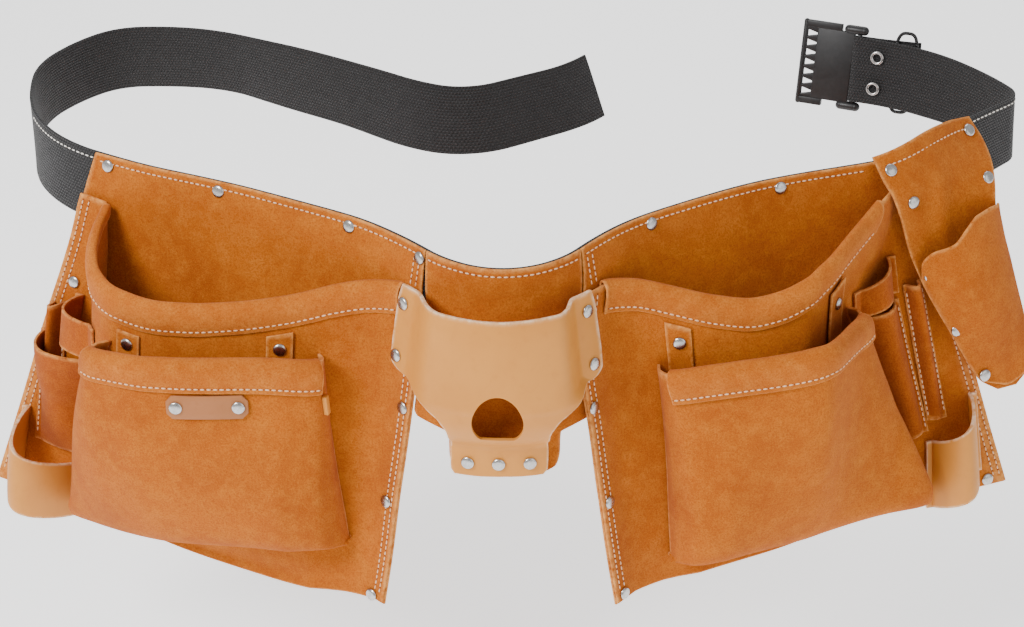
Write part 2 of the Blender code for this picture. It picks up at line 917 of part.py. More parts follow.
def build_bag(hang):
    """Makes the solids of one bag."""
    bag = Bag(hang)
    name = bag.name
    panel, columns, rows = bag.panel()
    back = sheet(f"{name}_back_panel", panel, columns, rows, SUEDE_THICKNESS, suede())
    wall, columns, rows = bag.main_wall()
    pouch = sheet(f"{name}_main_pouch", wall, columns, rows, SUEDE_THICKNESS, suede())
    last = columns - hang.rim_stop
    ends = (1 / columns, last / columns)
    rim, steps = bag.rim(wall, rows, MAIN_RIM_WIDTH, MAIN_RIM_TUCK, ends)
    sheet(f"{name}_main_rim", rim, last - 1, steps, RIM_THICKNESS, suede())
    front, columns, rows = bag.front_wall()
    sheet(f"{name}_front_pouch", front, columns, rows, SUEDE_THICKNESS, suede())
    ends = (2 / columns, (columns - 2) / columns)
    rim, steps = bag.rim(front, rows, FRONT_RIM_WIDTH, FRONT_RIM_TUCK, ends, 3 * FOLD_ROOM)
    sheet(f"{name}_front_rim", rim, columns - 4, steps, RIM_THICKNESS, suede())
    for place, (inward, lift) in zip(("inner", "outer"), hang.tabs):
        skin = bag.tab(bag.tab_along(place, inward * MM), lift * MM)
        tab = sheet(f"{name}_{place}_gusset_tab", skin, 3, 4, RIM_THICKNESS, suede())
        rivet(f"{name}_{place}_tab_rivet", tab, skin.place(0.5, 0.2), skin.normal(0.5, 0.2))
    sleeve = bag.arch(hang.pencil_sleeve, 4 * MM)
    sheet(f"{name}_pencil_sleeve", sleeve, 10, 4, SUEDE_THICKNESS, suede())
    pocket = bag.arch(hang.tool_pocket, 5 * MM)
    sheet(f"{name}_tool_pocket", pocket, 14, 5, SUEDE_THICKNESS, suede())
    loop = bag.arch(hang.side_loop, 7 * MM)
    sheet(f"{name}_side_loop", loop, 14, 1, SUEDE_THICKNESS, suede())
    hammer = bag.arch(hang.hammer_loop, 6 * MM)
    sheet(f"{name}_hammer_loop", hammer, 18, 2, TAN_THICKNESS, smooth_leather())
    for k, (along, down) in enumerate(hang.rivets):
        leather = back if 0 < down < 30 else pouch
        if down < 0:
            down += bag.bottom(min(max(along * MM / BAG_TOP, 0.0), 1.0)) / MM
        seat, normal = bag.lay(along * MM, down * MM, SUEDE_THICKNESS)
        rivet(f"{name}_rivet_{k + 1}", leather, seat, normal)
    return bag, front


def build_plate(front):
    """The little leather plate on the left front pouch, with clipped corners."""
    cuts = (0.0, 0.25, 0.75, 1.0)
    place_u, place_v = PLATE_PLACE
    centre = front.lifted(place_u, place_v, ON_SUEDE)
    normal = front.normal(place_u, place_v)
    across = (front.place(place_u + 0.01, place_v) - front.place(place_u, place_v)).normalized()
    downward = normal.cross(across)

    def place(u, v):
        share = at_station(cuts, v)
        clip = PLATE_CLIP * (1 - min(min(share, 1 - share) / 0.25, 1.0))
        reach = PLATE_WIDTH / 2 - clip
        bend = -0.8 * MM * (2 * u - 1) ** 2
        sideways = across * mix(-reach, reach, u)
        return centre + sideways + downward * (PLATE_HEIGHT * (share - 0.5)) + normal * (bend + 0.2 * MM)

    skin = Skin(place, front.outward)
    plate = sheet("name_plate", skin, 4, 3, PLATE_THICKNESS, smooth_leather())
    for name, side in (("left_plate_rivet", 0.88), ("right_plate_rivet", 0.12)):
        rivet(name, plate, skin.place(side, 0.5), skin.normal(side, 0.5))


def build_side_tab(front):
    """The tiny folded tab that sticks out of the left front pouch's inner seam."""
    shape = bmesh.new()
    bmesh.ops.create_cube(shape, size=1.0)
    for vertex in shape.verts:
        vertex.co.x *= SIDE_TAB_THICKNESS
        vertex.co.y *= SIDE_TAB_HEIGHT
        vertex.co.z *= SIDE_TAB_REACH
    made = add_object("side_tab", shape, smooth_leather())
    normal = front.normal(*SIDE_TAB_PLACE)
    away = SUEDE_THICKNESS + CLEARANCE + SIDE_TAB_REACH / 2
    seat = front.place(*SIDE_TAB_PLACE) + normal * away
    made.matrix_world = Matrix.Translation(seat) @ facing(normal)


def strap_end():
    """The middle of the strap's right end and its axes: along, up and outwards."""
    line = LINES[1]
    drape = Drape(line, 0.0, line.length)
    run, middle = line.length, WEBBING_WIDTH / 2
    here = drape.point(run, middle, 0)
    up = (drape.point(run, 0, 0) - here).normalized()
    out = (drape.point(run, middle, MM) - here).normalized()
    return here, up.cross(out).normalized(), up, out


def build_webbing():
    """The strap, from the free end at the left to the end folded round the buckle's bar."""
    left = [-run for run in reversed(LINES[-1].columns())]
    end = LINES[1].length
    bend = math.pi * FOLD_RADIUS
    runs = left[:-1] + LINES[1].columns() + [end + bend * (k + 1) / 12 for k in range(12)]
    runs += [end + bend + STRAP_FOLD * 0.5, end + bend + STRAP_FOLD]
    here, along, up, out = strap_end()

    def place(u, v):
        run = at_station(runs, u)
        if run <= end:
            return ribbon_point(run, WEBBING_WIDTH * v, 0.0)
        angle = min((run - end) / FOLD_RADIUS, math.pi)
        back = max(run - end - bend, 0.0)
        forward = FOLD_RADIUS * math.sin(angle) - back
        away = FOLD_RADIUS * (1 - math.cos(angle))
        return here + along * forward + out * away + up * (WEBBING_WIDTH * (0.5 - v))

    sheet("webbing", Skin(place, -1), len(runs) - 1, 1, WEBBING_THICKNESS, black_webbing())


def build_centre():
    """The panel between the bags and the tape holder on it."""
    half = CENTRE_HALF - CENTRE_SIDE_ROOM
    rows = [row.down for row in CENTRE_OUTLINE]

    def panel(u, v):
        share = at_station(rows, v)
        reach = half * smooth(CENTRE_OUTLINE, "half", share)
        down = CENTRE_HEIGHT * share
        out = PANEL_LIFT * (1 - ease((down - WEBBING_WIDTH) / (10 * MM)))
        return ribbon_point(mix(-reach, reach, u), down, out)

    sheet("centre_panel", Skin(panel, -1), 10, len(rows) - 1, SUEDE_THICKNESS, suede())

    downs = [row.down for row in HOLDER_ROWS]

    def holder_half(u, share):
        lug = HOLDER_LEFT_HALF if u < 0.5 else HOLDER_RIGHT_HALF
        return mix(lug, HOLDER_TAB_HALF, ease((share - 0.44) / 0.1))

    def holder(u, v):
        share = at_station(downs, v)
        half = holder_half(u, share)
        run = (2 * u - 1) * half * smooth(HOLDER_ROWS, "half", share)
        slope_width = half - HOLDER_LUG - HOLDER_FRONT_HALF
        rise = 1 - ease((abs(run) - HOLDER_FRONT_HALF) / slope_width)
        seat = HOLDER_SEAT * smooth(HOLDER_ROWS, "seat", share)
        out = seat + (HOLDER_DEPTH - HOLDER_SEAT) * rise * smooth(HOLDER_ROWS, "out", share)
        return ribbon_point(HOLDER_SHIFT + run, HOLDER_TOP + HOLDER_HEIGHT * share, out)

    skin = Skin(holder, -1)
    made = sheet("tape_holder", skin, 16, len(downs) - 1, TAN_THICKNESS, smooth_leather())
    cutter = bmesh.new()
    bmesh.ops.create_cone(
        cutter,
        cap_ends=True,
        segments=24,
        radius1=HOLE_RADIUS,
        radius2=HOLE_RADIUS,
        depth=40 * MM,
    )
    for vertex in cutter.verts:
        vertex.co.y = max(vertex.co.y * HOLE_STRETCH, -HOLE_FLAT)
    tool = add_object("holder_hole_cutter", cutter, smooth_leather(), "cutters")
    centre = skin.place(0.5, share_of(downs, (HOLE_DOWN - HOLDER_TOP) / HOLDER_HEIGHT))
    tool.matrix_world = Matrix.Translation(centre) @ facing(Vector((0, -1, -0.1)))
    cut = made.modifiers.new("hole", "BOOLEAN")
    cut.operation = "DIFFERENCE"
    cut.object = tool
    tool.hide_render = True
    tool.display_type = "WIRE"
    for name, run, down in (
        ("holder_rivet_1", -56 * MM, 38 * MM),
        ("holder_rivet_2", -56 * MM, 76 * MM),
        ("holder_rivet_3", 48 * MM, 38 * MM),
        ("holder_rivet_4", 48 * MM, 76 * MM),
        ("holder_rivet_5", -HOLDER_RIVET_STEP, HOLDER_RIVET_DOWN),
        ("holder_rivet_6", 0.0, HOLDER_RIVET_DOWN),
        ("holder_rivet_7", HOLDER_RIVET_STEP, HOLDER_RIVET_DOWN),
    ):
        share = (down - HOLDER_TOP) / HOLDER_HEIGHT
        v = share_of(downs, share)
        half = holder_half(0.5 + run, share) * smooth(HOLDER_ROWS, "half", share)
        u = 0.5 + run / (2 * half)
        rivet(name, made, skin.lifted(u, v, TAN_THICKNESS), skin.normal(u, v))


def build_holster():
    """The hanger that backs the holster, and the holster's own wall.

    The hanger follows the webbing at its top and the flat of the bag lower down.
    """
    line = LINES[1]
    belt = Drape(line, 0.0, line.length)
    flat = Drape(line, CENTRE_HALF, CENTRE_HALF + BAG_TOP - 20 * MM)
    rows = [row.down for row in HANGER_ROWS]

    def place_at(share, down, lift):
        inner = smooth(HANGER_ROWS, "inner", down) * MM
        outer = smooth(HANGER_ROWS, "outer", down) * MM
        run = CENTRE_HALF + mix(inner, outer, share)
        rise = math.sin(math.pi * min(share * 1.3, 1.0)) * (1 - ease(down / 44))
        down -= HANGER_CROWN * math.sin(math.pi * share) * (1 - ease((down + 5) / 15))
        out = smooth(HANGER_ROWS, "out", down) * MM + HANGER_RISE * rise + lift
        upper, lower = belt.point(run, down * MM, out), flat.point(run, down * MM, out)
        return upper.lerp(lower, ease(down / 42))

    def back(u, v):
        return place_at(u, at_station(rows, v), 0.0)

    hanger = Skin(back, -1)
    made = sheet("holster_hanger", hanger, 8, len(rows) - 1, SUEDE_THICKNESS, suede())
    seam = HANGER_ROWS[-1].down - 3

    def front(u, v):
        top = smooth(HOLSTER_MOUTH, "down", u)
        low = seam - 14 * (1 - math.sin(math.pi * mix(0.15, 0.85, u)))
        bulge = HOLSTER_BULGE * math.sin(math.pi * u) ** 0.7 * (1 - 0.96 * ease(v) ** 2)
        return place_at(u, mix(top, low, v), ON_SUEDE + CLEARANCE + bulge)

    sheet("holster_pocket", Skin(front, -1), 14, 7, SUEDE_THICKNESS, suede())
    for k, (along, down) in enumerate(((247, 5), (323, 4), (325, 30), (259, 29))):
        v = share_of(rows, down)
        inner, outer = smooth(HANGER_ROWS, "inner", down), smooth(HANGER_ROWS, "outer", down)
        u = (along - inner) / (outer - inner)
        seat = hanger.lifted(u, v, SUEDE_THICKNESS)
        rivet(f"hanger_rivet_{k + 1}", made, seat, hanger.normal(u, v))


def build_buckle():
    """The plastic end fitting, the wire ring and the eyelets on the right end."""
    line = LINES[1]
    end = line.length
    drape = Drape(line, 0.0, end)
    here, along, up, out = strap_end()
    seat = here + out * FOLD_RADIUS
    frame = Matrix((along, up, out)).transposed().to_4x4()
    frame @= Matrix.Rotation(math.radians(BUCKLE_LEAN), 4, "Y")

    shape = bmesh.new()
    bmesh.ops.create_cube(shape, size=1.0)
    for vertex in shape.verts:
        vertex.co.x = (vertex.co.x + 0.5) * BUCKLE_LENGTH - BUCKLE_BAR / 2
        vertex.co.y *= BUCKLE_HEIGHT
        vertex.co.z *= BUCKLE_THICKNESS
    made = add_object("buckle_frame", shape, black_plastic())
    made.data.shade_flat()
    edges = made.modifiers.new("edges", "BEVEL")
    edges.width = 1.2 * MM
    edges.segments = 2
    made.matrix_world = Matrix.Translation(seat) @ frame

    cutter = bmesh.new()
    slot = bmesh.ops.create_cube(cutter, size=1.0)["verts"]
    for vertex in slot:
        vertex.co.x = BUCKLE_BAR / 2 + (vertex.co.x + 0.5) * 6 * MM
        vertex.co.y *= WEBBING_WIDTH + 3 * MM
        vertex.co.z *= 20 * MM
    pitch = (WEBBING_WIDTH + 4 * MM) / TOOTH_COUNT
    for k in range(TOOTH_COUNT):
        tooth = bmesh.ops.create_cube(cutter, size=1.0)["verts"]
        for vertex in tooth:
            narrow = 0.35 if vertex.co.x < 0 else 0.8
            x = BUCKLE_LENGTH - BUCKLE_BAR * 1.9 - TOOTH_LENGTH + (vertex.co.x + 0.5) * TOOTH_LENGTH
            y = (k - (TOOTH_COUNT - 1) / 2 + vertex.co.y * narrow) * pitch
            vertex.co = (x, y, vertex.co.z * 20 * MM)
    tool = add_object("buckle_cutter", cutter, black_plastic(), "cutters")
    tool.matrix_world = made.matrix_world
    cut = made.modifiers.new("gaps", "BOOLEAN")
    cut.operation = "DIFFERENCE"
    cut.object = tool
    tool.hide_render = True
    tool.display_type = "WIRE"

    lower, upper = FOLD_RADIUS, 2 * FOLD_RADIUS + RING_WIRE + RING_ROOM
    top, bottom = -(RING_WIRE + RING_ROOM), WEBBING_WIDTH + RING_WIRE + RING_ROOM
    corners = ((top, lower), (bottom, lower), (bottom, upper), (top, upper))
    path = []
    for k, (down, layer) in enumerate(corners):
        for other in (corners[k - 1], corners[(k + 1) % 4]):
            reach = 2.5 * MM / math.hypot(other[0] - down, other[1] - layer)
            height = up * (WEBBING_WIDTH / 2 - mix(down, other[0], reach))
            path.append(here - along * RING_BACK + height + out * mix(layer, other[1], reach))
    wire_loop("keeper_ring", path, RING_WIRE, black_plastic())
    for name, down in (("upper_eyelet", 13 * MM), ("lower_eyelet", 37 * MM)):
        run = end - EYELET_BACK
        centre = drape.point(run, down, -EYELET_WIRE - 4 * CLEARANCE)
        beside = (drape.point(run + MM, down, 0.0) - drape.point(run - MM, down, 0.0)).normalized()
        around = []
        for k in range(10):
            angle = 2 * math.pi * k / 10
            offset = beside * math.cos(angle) + up * math.sin(angle)
            around.append(centre + offset * (EYELET_RADIUS - EYELET_WIRE))
        wire_loop(name, around, EYELET_WIRE, nickel())


def wire_loop(name, path, radius, finish):
    """A closed loop of round wire through the points."""
    curve = bpy.data.curves.new(name, "CURVE")
    curve.dimensions = "3D"
    curve.bevel_depth = radius
    curve.bevel_resolution = 1
    spline = curve.splines.new("POLY")
    spline.points.add(len(path) - 1)
    for point, place in zip(spline.points, path):
        point.co = (*place, 1)
    spline.use_cyclic_u = True
    curve.materials.append(finish)
    made = bpy.data.objects.new(name, curve)
    collection("tool_belt").objects.link(made)
    return made


def main():
    for old in list(bpy.data.objects):
        bpy.data.objects.remove(old)
    build_webbing()
    build_centre()
    _, left_front = build_bag(LEFT_HANG)
    build_bag(RIGHT_HANG)
    build_plate(left_front)
    build_side_tab(left_front)
    build_holster()
    build_buckle()


main()
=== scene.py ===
"""Looks of the leather tool belt: fine surfaces, stitches, finishes, light and camera.

Every piece follows the same named sizes as the belt's solids, so that it lies where the
solid lies. Sizes are metres. The origin is on the belt's inner face at the middle of the
front, +X is the right of the front view, -Y points at the viewer and +Z is up.
"""

import json
import logging
import math
from collections.abc import Callable, Sequence
from dataclasses import dataclass
from enum import Enum
from typing import Any, NamedTuple

import bmesh
import bpy
from mathutils import Matrix, Vector, noise

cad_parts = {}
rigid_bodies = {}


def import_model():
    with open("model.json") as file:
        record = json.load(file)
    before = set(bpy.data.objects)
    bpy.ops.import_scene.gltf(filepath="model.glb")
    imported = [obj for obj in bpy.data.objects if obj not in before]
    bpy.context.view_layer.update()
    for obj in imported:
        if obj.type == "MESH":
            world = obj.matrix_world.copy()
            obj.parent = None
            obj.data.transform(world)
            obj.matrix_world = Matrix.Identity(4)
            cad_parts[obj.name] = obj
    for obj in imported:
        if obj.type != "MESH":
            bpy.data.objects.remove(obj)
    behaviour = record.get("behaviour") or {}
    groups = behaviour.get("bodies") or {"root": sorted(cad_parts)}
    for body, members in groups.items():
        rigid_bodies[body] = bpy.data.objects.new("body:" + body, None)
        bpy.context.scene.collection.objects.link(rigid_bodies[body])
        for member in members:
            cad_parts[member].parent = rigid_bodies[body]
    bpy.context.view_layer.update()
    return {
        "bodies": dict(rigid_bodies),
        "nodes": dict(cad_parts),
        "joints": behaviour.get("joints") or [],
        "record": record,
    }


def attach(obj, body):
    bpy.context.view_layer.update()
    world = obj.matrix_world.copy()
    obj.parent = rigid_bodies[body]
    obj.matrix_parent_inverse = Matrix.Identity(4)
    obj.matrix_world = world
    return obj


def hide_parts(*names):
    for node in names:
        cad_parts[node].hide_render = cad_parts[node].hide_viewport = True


LOG = logging.getLogger("tool_belt")
MM = 0.001

# Clearances between pieces that lie on each other
CLEARANCE = 0.3 * MM
WEBBING_CLEARANCE = 0.5 * MM
FOLD_ROOM = 0.6 * MM

# Webbing
WEBBING_WIDTH = 50 * MM
WEBBING_THICKNESS = 2.0 * MM
LEFT_STRAP = 632 * MM
RIGHT_STRAP = 204 * MM
STRAP_FOLD = 46 * MM
FOLD_RADIUS = 4.4 * MM

# Leather
SUEDE_THICKNESS = 1.8 * MM
RIM_THICKNESS = 1.5 * MM
TAN_THICKNESS = 2.4 * MM

# Belt line
CENTRE_HALF = 56 * MM
BAG_TOP = 270 * MM
HANGER_RUN = 62 * MM
FLAT_SHARE = 0.88
FRONT_TILT = 9.0

# Back panels of the bags
PANEL_BELLY = 13 * MM
PANEL_LEAN_DOWN = 100 * MM
PANEL_OUTER_FLARE = 74 * MM
PANEL_OUTER_DOWN = 276 * MM

# Large pouches
MAIN_DEPTH = 68 * MM
MAIN_LIP_HEIGHT = 30 * MM
MAIN_LIP_DIP = 40 * MM
MAIN_STANDOFF = 2.4 * MM
PULL_FROM = 20 * MM
PULL_LENGTH = 90 * MM
MAIN_RIM_WIDTH = 20 * MM
MAIN_RIM_TUCK = 6 * MM

# Front pouches
FRONT_BOTTOM_WIDTH = 222 * MM
FRONT_DEPTH = 30 * MM
FRONT_RIM_WIDTH = 21 * MM
FRONT_RIM_TUCK = 8 * MM
GUSSET_TAB_WIDTH = 17 * MM
GUSSET_TAB_END = 136 * MM

# Centre panel and tape holder
CENTRE_HEIGHT = 150 * MM
CENTRE_SIDE_ROOM = 0.8 * MM
HOLDER_TOP = 25 * MM
HOLDER_HEIGHT = 125 * MM
HOLDER_LEFT_HALF = 62 * MM
HOLDER_RIGHT_HALF = 54 * MM
HOLDER_TAB_HALF = 62 * MM
HOLDER_SHIFT = -2.5 * MM
HOLDER_LUG = 13 * MM
HOLDER_FRONT_HALF = 24 * MM
HOLDER_DEPTH = 31 * MM
HOLDER_SEAT = 11.8 * MM
HOLE_DOWN = 99 * MM
HOLE_RADIUS = 17 * MM
HOLE_STRETCH = 1.35
HOLE_FLAT = 17 * MM

# Holster at the right
HOLSTER_BULGE = 18 * MM
HANGER_RISE = 2 * MM
HANGER_CROWN = 6

# Hardware
BUCKLE_LEAN = -6.0


class Turn(NamedTuple):
    """One arc of the belt line: its share of the run, its turn and the tilt at its end."""

    share: float
    turn: float
    tilt: float


RIGHT_RUNS = (
    (CENTRE_HALF, (Turn(0.5, 30, 10), Turn(0.5, 22, 11))),
    (BAG_TOP, (Turn(0.26, -18, 14), Turn(0.37, -14, 14), Turn(0.26, -2, 14), Turn(0.11, 22, 14))),
    (HANGER_RUN, (Turn(0.65, 4, 14), Turn(0.35, -1, 12))),
    (
        RIGHT_STRAP,
        (
            Turn(0.26, -2, 7),
            Turn(0.10, 76, 2),
            Turn(0.13, 14, -4),
            Turn(0.22, 10, -12),
            Turn(0.29, 22, -17),
        ),
    ),
)
LEFT_RUNS = (
    (CENTRE_HALF, (Turn(0.5, 28, 10), Turn(0.5, 20, 11))),
    (BAG_TOP, (Turn(0.26, -18, 14), Turn(0.38, -7, 14), Turn(0.36, 4, 14))),
    (
        LEFT_STRAP,
        (
            Turn(0.107, 34, 6),
            Turn(0.064, 20, 0),
            Turn(0.043, 6, 0),
            Turn(0.061, 32, 0),
            Turn(0.068, 18, -2),
            Turn(0.062, 42, -4),
            Turn(0.127, 26, -5),
            Turn(0.113, 4, -12),
            Turn(0.100, 4, -18),
            Turn(0.054, -14, -22),
            Turn(0.070, -48, -24),
            Turn(0.067, 0, -24),
            Turn(0.064, -22, -24),
        ),
    ),
)


class Mouth(NamedTuple):
    """A station of the large pouch's mouth, in shares of its width, depth and dip."""

    across: float
    out: float
    dip: float


LEFT_MOUTH = (
    Mouth(0.000, 0.00, 0.00),
    Mouth(0.050, 0.00, 0.02),
    Mouth(0.120, 0.08, 0.12),
    Mouth(0.220, 0.29, 0.33),
    Mouth(0.330, 0.50, 0.62),
    Mouth(0.460, 0.76, 0.86),
    Mouth(0.570, 0.92, 0.97),
    Mouth(0.670, 1.00, 1.00),
    Mouth(0.760, 0.98, 0.95),
    Mouth(0.835, 0.84, 0.82),
    Mouth(0.890, 0.58, 0.58),
    Mouth(0.925, 0.28, 0.30),
    Mouth(0.942, 0.05, 0.10),
    Mouth(0.955, 0.00, 0.04),
    Mouth(1.000, 0.00, 0.00),
)
RIGHT_MOUTH = (
    Mouth(0.000, 0.00, 0.00),
    Mouth(0.050, 0.00, 0.02),
    Mouth(0.120, 0.12, 0.16),
    Mouth(0.210, 0.34, 0.42),
    Mouth(0.310, 0.56, 0.66),
    Mouth(0.410, 0.74, 0.78),
    Mouth(0.500, 0.84, 0.72),
    Mouth(0.580, 0.86, 0.60),
    Mouth(0.660, 0.77, 0.42),
    Mouth(0.700, 0.68, 0.33),
    Mouth(0.740, 0.57, 0.22),
    Mouth(0.810, 0.38, 0.02),
    Mouth(0.870, 0.23, -0.17),
    Mouth(0.915, 0.11, -0.28),
    Mouth(0.945, 0.02, -0.33),
    Mouth(0.960, 0.00, -0.34),
    Mouth(1.000, 0.00, -0.34),
)


class Fall(NamedTuple):
    """How much of its depth a pouch keeps at a share of its height."""

    down: float
    out: float


MAIN_FALL = (
    Fall(0.00, 1.00),
    Fall(0.15, 1.00),
    Fall(0.35, 0.90),
    Fall(0.55, 0.70),
    Fall(0.75, 0.40),
    Fall(0.90, 0.13),
    Fall(0.97, 0.00),
    Fall(1.00, 0.00),
)


class Face(NamedTuple):
    """A row of the front pouch from lip to floor seam: shares of its height and depth."""

    row: float
    down: float
    out: float


FRONT_ROWS = (
    Face(0.00, 0.000, 0.80),
    Face(0.20, 0.220, 0.90),
    Face(0.45, 0.500, 1.00),
    Face(0.68, 0.760, 1.05),
    Face(0.82, 0.920, 1.00),
    Face(0.90, 0.990, 0.82),
    Face(0.95, 1.000, 0.45),
    Face(1.00, 0.985, 0.00),
)


class Gusset(NamedTuple):
    """A station round the front pouch, in shares of its width and depth."""

    around: float
    across: float
    out: float


FRONT_SECTION = (
    Gusset(0.00, 0.000, 0.00),
    Gusset(0.07, -0.020, 0.50),
    Gusset(0.13, -0.005, 0.92),
    Gusset(0.20, 0.060, 1.06),
    Gusset(0.50, 0.500, 1.00),
    Gusset(0.80, 0.940, 1.06),
    Gusset(0.87, 1.005, 0.92),
    Gusset(0.93, 1.020, 0.50),
    Gusset(1.00, 1.000, 0.00),
)


class Outline(NamedTuple):
    """A row of the tape holder: shares of its height, half width, depth and seat."""

    down: float
    half: float
    out: float
    seat: float


HOLDER_ROWS = (
    Outline(0.00, 0.97, 0.92, 1.0),
    Outline(0.10, 1.00, 0.98, 1.0),
    Outline(0.30, 1.00, 1.00, 1.0),
    Outline(0.44, 0.98, 0.99, 1.0),
    Outline(0.48, 0.86, 0.98, 1.0),
    Outline(0.50, 0.62, 0.97, 1.0),
    Outline(0.54, 0.46, 0.94, 0.9),
    Outline(0.61, 0.36, 0.84, 0.8),
    Outline(0.69, 0.33, 0.62, 0.62),
    Outline(0.74, 0.34, 0.40, 0.48),
    Outline(0.79, 0.35, 0.12, 0.32),
    Outline(0.84, 0.36, 0.02, 0.23),
    Outline(0.97, 0.35, 0.00, 0.20),
    Outline(1.00, 0.32, 0.00, 0.20),
)


class Side(NamedTuple):
    """A row of a flat panel's outline: height from the belt's top and half width."""

    down: float
    half: float


CENTRE_OUTLINE = (
    Side(0.00, 1.00),
    Side(0.16, 0.94),
    Side(0.33, 0.82),
    Side(0.42, 0.76),
    Side(0.52, 0.90),
    Side(0.765, 0.90),
    Side(0.79, 0.86),
    Side(0.80, 0.66),
    Side(0.815, 0.50),
    Side(0.93, 0.47),
    Side(0.98, 0.43),
    Side(1.00, 0.34),
)


class Strip(NamedTuple):
    """A row of the holster hanger: height, its two edges along the belt, how far out."""

    down: float
    inner: float
    outer: float
    out: float


HANGER_ROWS = (
    Strip(-5, 237, 331, 7.5),
    Strip(10, 241, 333, 15.0),
    Strip(24, 246, 331, 19.5),
    Strip(44, 251, 328, 19.5),
    Strip(66, 256, 331, 19.5),
    Strip(90, 264, 336, 20.5),
    Strip(135, 286, 345, 22.0),
    Strip(160, 298, 350, 22.0),
    Strip(176, 308, 348, 22.0),
    Strip(186, 322, 338, 22.0),
)


class Rim(NamedTuple):
    """A place on the holster's slanted mouth: share across, and down from the belt's top."""

    across: float
    down: float


HOLSTER_MOUTH = (
    Rim(0.00, 88),
    Rim(0.05, 73),
    Rim(0.16, 65),
    Rim(0.34, 61),
    Rim(0.50, 51),
    Rim(0.64, 44),
    Rim(0.80, 43),
    Rim(1.00, 46),
)


class Arch(NamedTuple):
    """A band or tube that stands out from the bag between two seams.

    The places are millimetres along the belt and down from its top edge. It keeps
    the share `shut` of its bulge at its lower edge.
    """

    inner: float
    outer: float
    foot_inner: float
    foot_outer: float
    top_inner: float
    top_outer: float
    low_inner: float
    low_outer: float
    bulge: float
    shut: float


class Hang(NamedTuple):
    """What differs between the two bags, since each one hangs in its own way."""

    side: int
    lean: float
    pull: float
    inner_height: float
    outer_height: float
    inset: float
    bottom_inset: float
    top_width: float
    spread: float
    side_tuck: float
    top_inner: float
    top_outer: float
    bottom_inner: float
    bottom_outer: float
    tabs: tuple
    rivets: tuple
    side_loop: Arch
    pencil_sleeve: Arch
    tool_pocket: Arch
    hammer_loop: Arch
    mouth: tuple
    rim_stop: int


LEFT_HANG = Hang(
    side=-1,
    lean=9 * MM,
    pull=0 * MM,
    inner_height=270 * MM,
    outer_height=270 * MM,
    inset=54 * MM,
    bottom_inset=34 * MM,
    top_width=153 * MM,
    spread=0.95,
    side_tuck=0.09,
    top_inner=90 * MM,
    top_outer=104 * MM,
    bottom_inner=230 * MM,
    bottom_outer=266 * MM,
    tabs=((38, 0.6), (13, 0.6)),
    rivets=((4, 7), (255, 7), (-3, 115), (0, 190), (3, -4), (282, 99)),
    side_loop=Arch(233, 272, 233, 274, 104, 106, 131, 134, 16, 1.0),
    pencil_sleeve=Arch(289, 296, 290, 297, 115, 117, 200, 200, 12, 0.1),
    tool_pocket=Arch(242, 301, 264, 303, 139, 139, 228, 226, 22, 0.1),
    hammer_loop=Arch(273, 314, 273, 318, 236, 203, 278, 256, 44, 0.9),
    mouth=LEFT_MOUTH,
    rim_stop=2,
)
RIGHT_HANG = Hang(
    side=1,
    lean=21 * MM,
    pull=22 * MM,
    inner_height=266 * MM,
    outer_height=262 * MM,
    inset=36 * MM,
    bottom_inset=42 * MM,
    top_width=166 * MM,
    spread=0.92,
    side_tuck=0.05,
    top_inner=99 * MM,
    top_outer=92 * MM,
    bottom_inner=250 * MM,
    bottom_outer=254 * MM,
    tabs=((22, 0.6), (16, 1.5)),
    rivets=((-16, 110), (-14, 186), (-13, -6), (324, -6)),
    side_loop=Arch(217, 247, 219, 249, 84, 70, 106, 98, 10, 1.0),
    pencil_sleeve=Arch(263, 270, 279, 287, 93, 91, 200, 200, 9, 0.1),
    tool_pocket=Arch(225, 250, 263, 271, 108, 102, 212, 208, 11, 0.1),
    hammer_loop=Arch(280, 309, 280, 312, 216, 185, 268, 246, 28, 0.9),
    mouth=RIGHT_MOUTH,
    rim_stop=4,
)


def smooth(rows: Sequence[Any], column: str, share: float) -> float:
    """Reads a smooth curve through a table's column.

    Args:
        rows: The table, ordered by its first column.
        column: The name of the column that is read.
        share: The place along the first column.

    Returns:
        The value there, without overshoot.
    """
    xs = [row[0] for row in rows]
    ys = [getattr(row, column) for row in rows]
    i = min(max(sum(x <= share for x in xs) - 1, 0), len(xs) - 2)
    step = xs[i + 1] - xs[i]
    t = min(max((share - xs[i]) / step, 0.0), 1.0)
    rise = (ys[i + 1] - ys[i]) / step

    def slope(k: int) -> float:
        """The curve's slope at a row, with no overshoot between rows.

        Args:
            k: The row's number.

        Returns:
            The slope.
        """
        if k <= 0 or k >= len(xs) - 1:
            return rise
        before = (ys[k] - ys[k - 1]) / (xs[k] - xs[k - 1])
        after = (ys[k + 1] - ys[k]) / (xs[k + 1] - xs[k])
        if before * after <= 0:
            return 0.0
        return 2 * before * after / (before + after)

    a, b = slope(i) * step, slope(i + 1) * step
    t2, t3 = t * t, t * t * t
    level = ys[i] * (2 * t3 - 3 * t2 + 1) + ys[i + 1] * (3 * t2 - 2 * t3)
    return level + a * (t3 - 2 * t2 + t) + b * (t3 - t2)


def ease(x: float) -> float:
    """0 to 1 with level ends."""
    x = min(max(x, 0.0), 1.0)
    return x * x * (3 - 2 * x)


def mix(a: float, b: float, t: float) -> float:
    """The value at share t between a and b."""
    return a + (b - a) * t


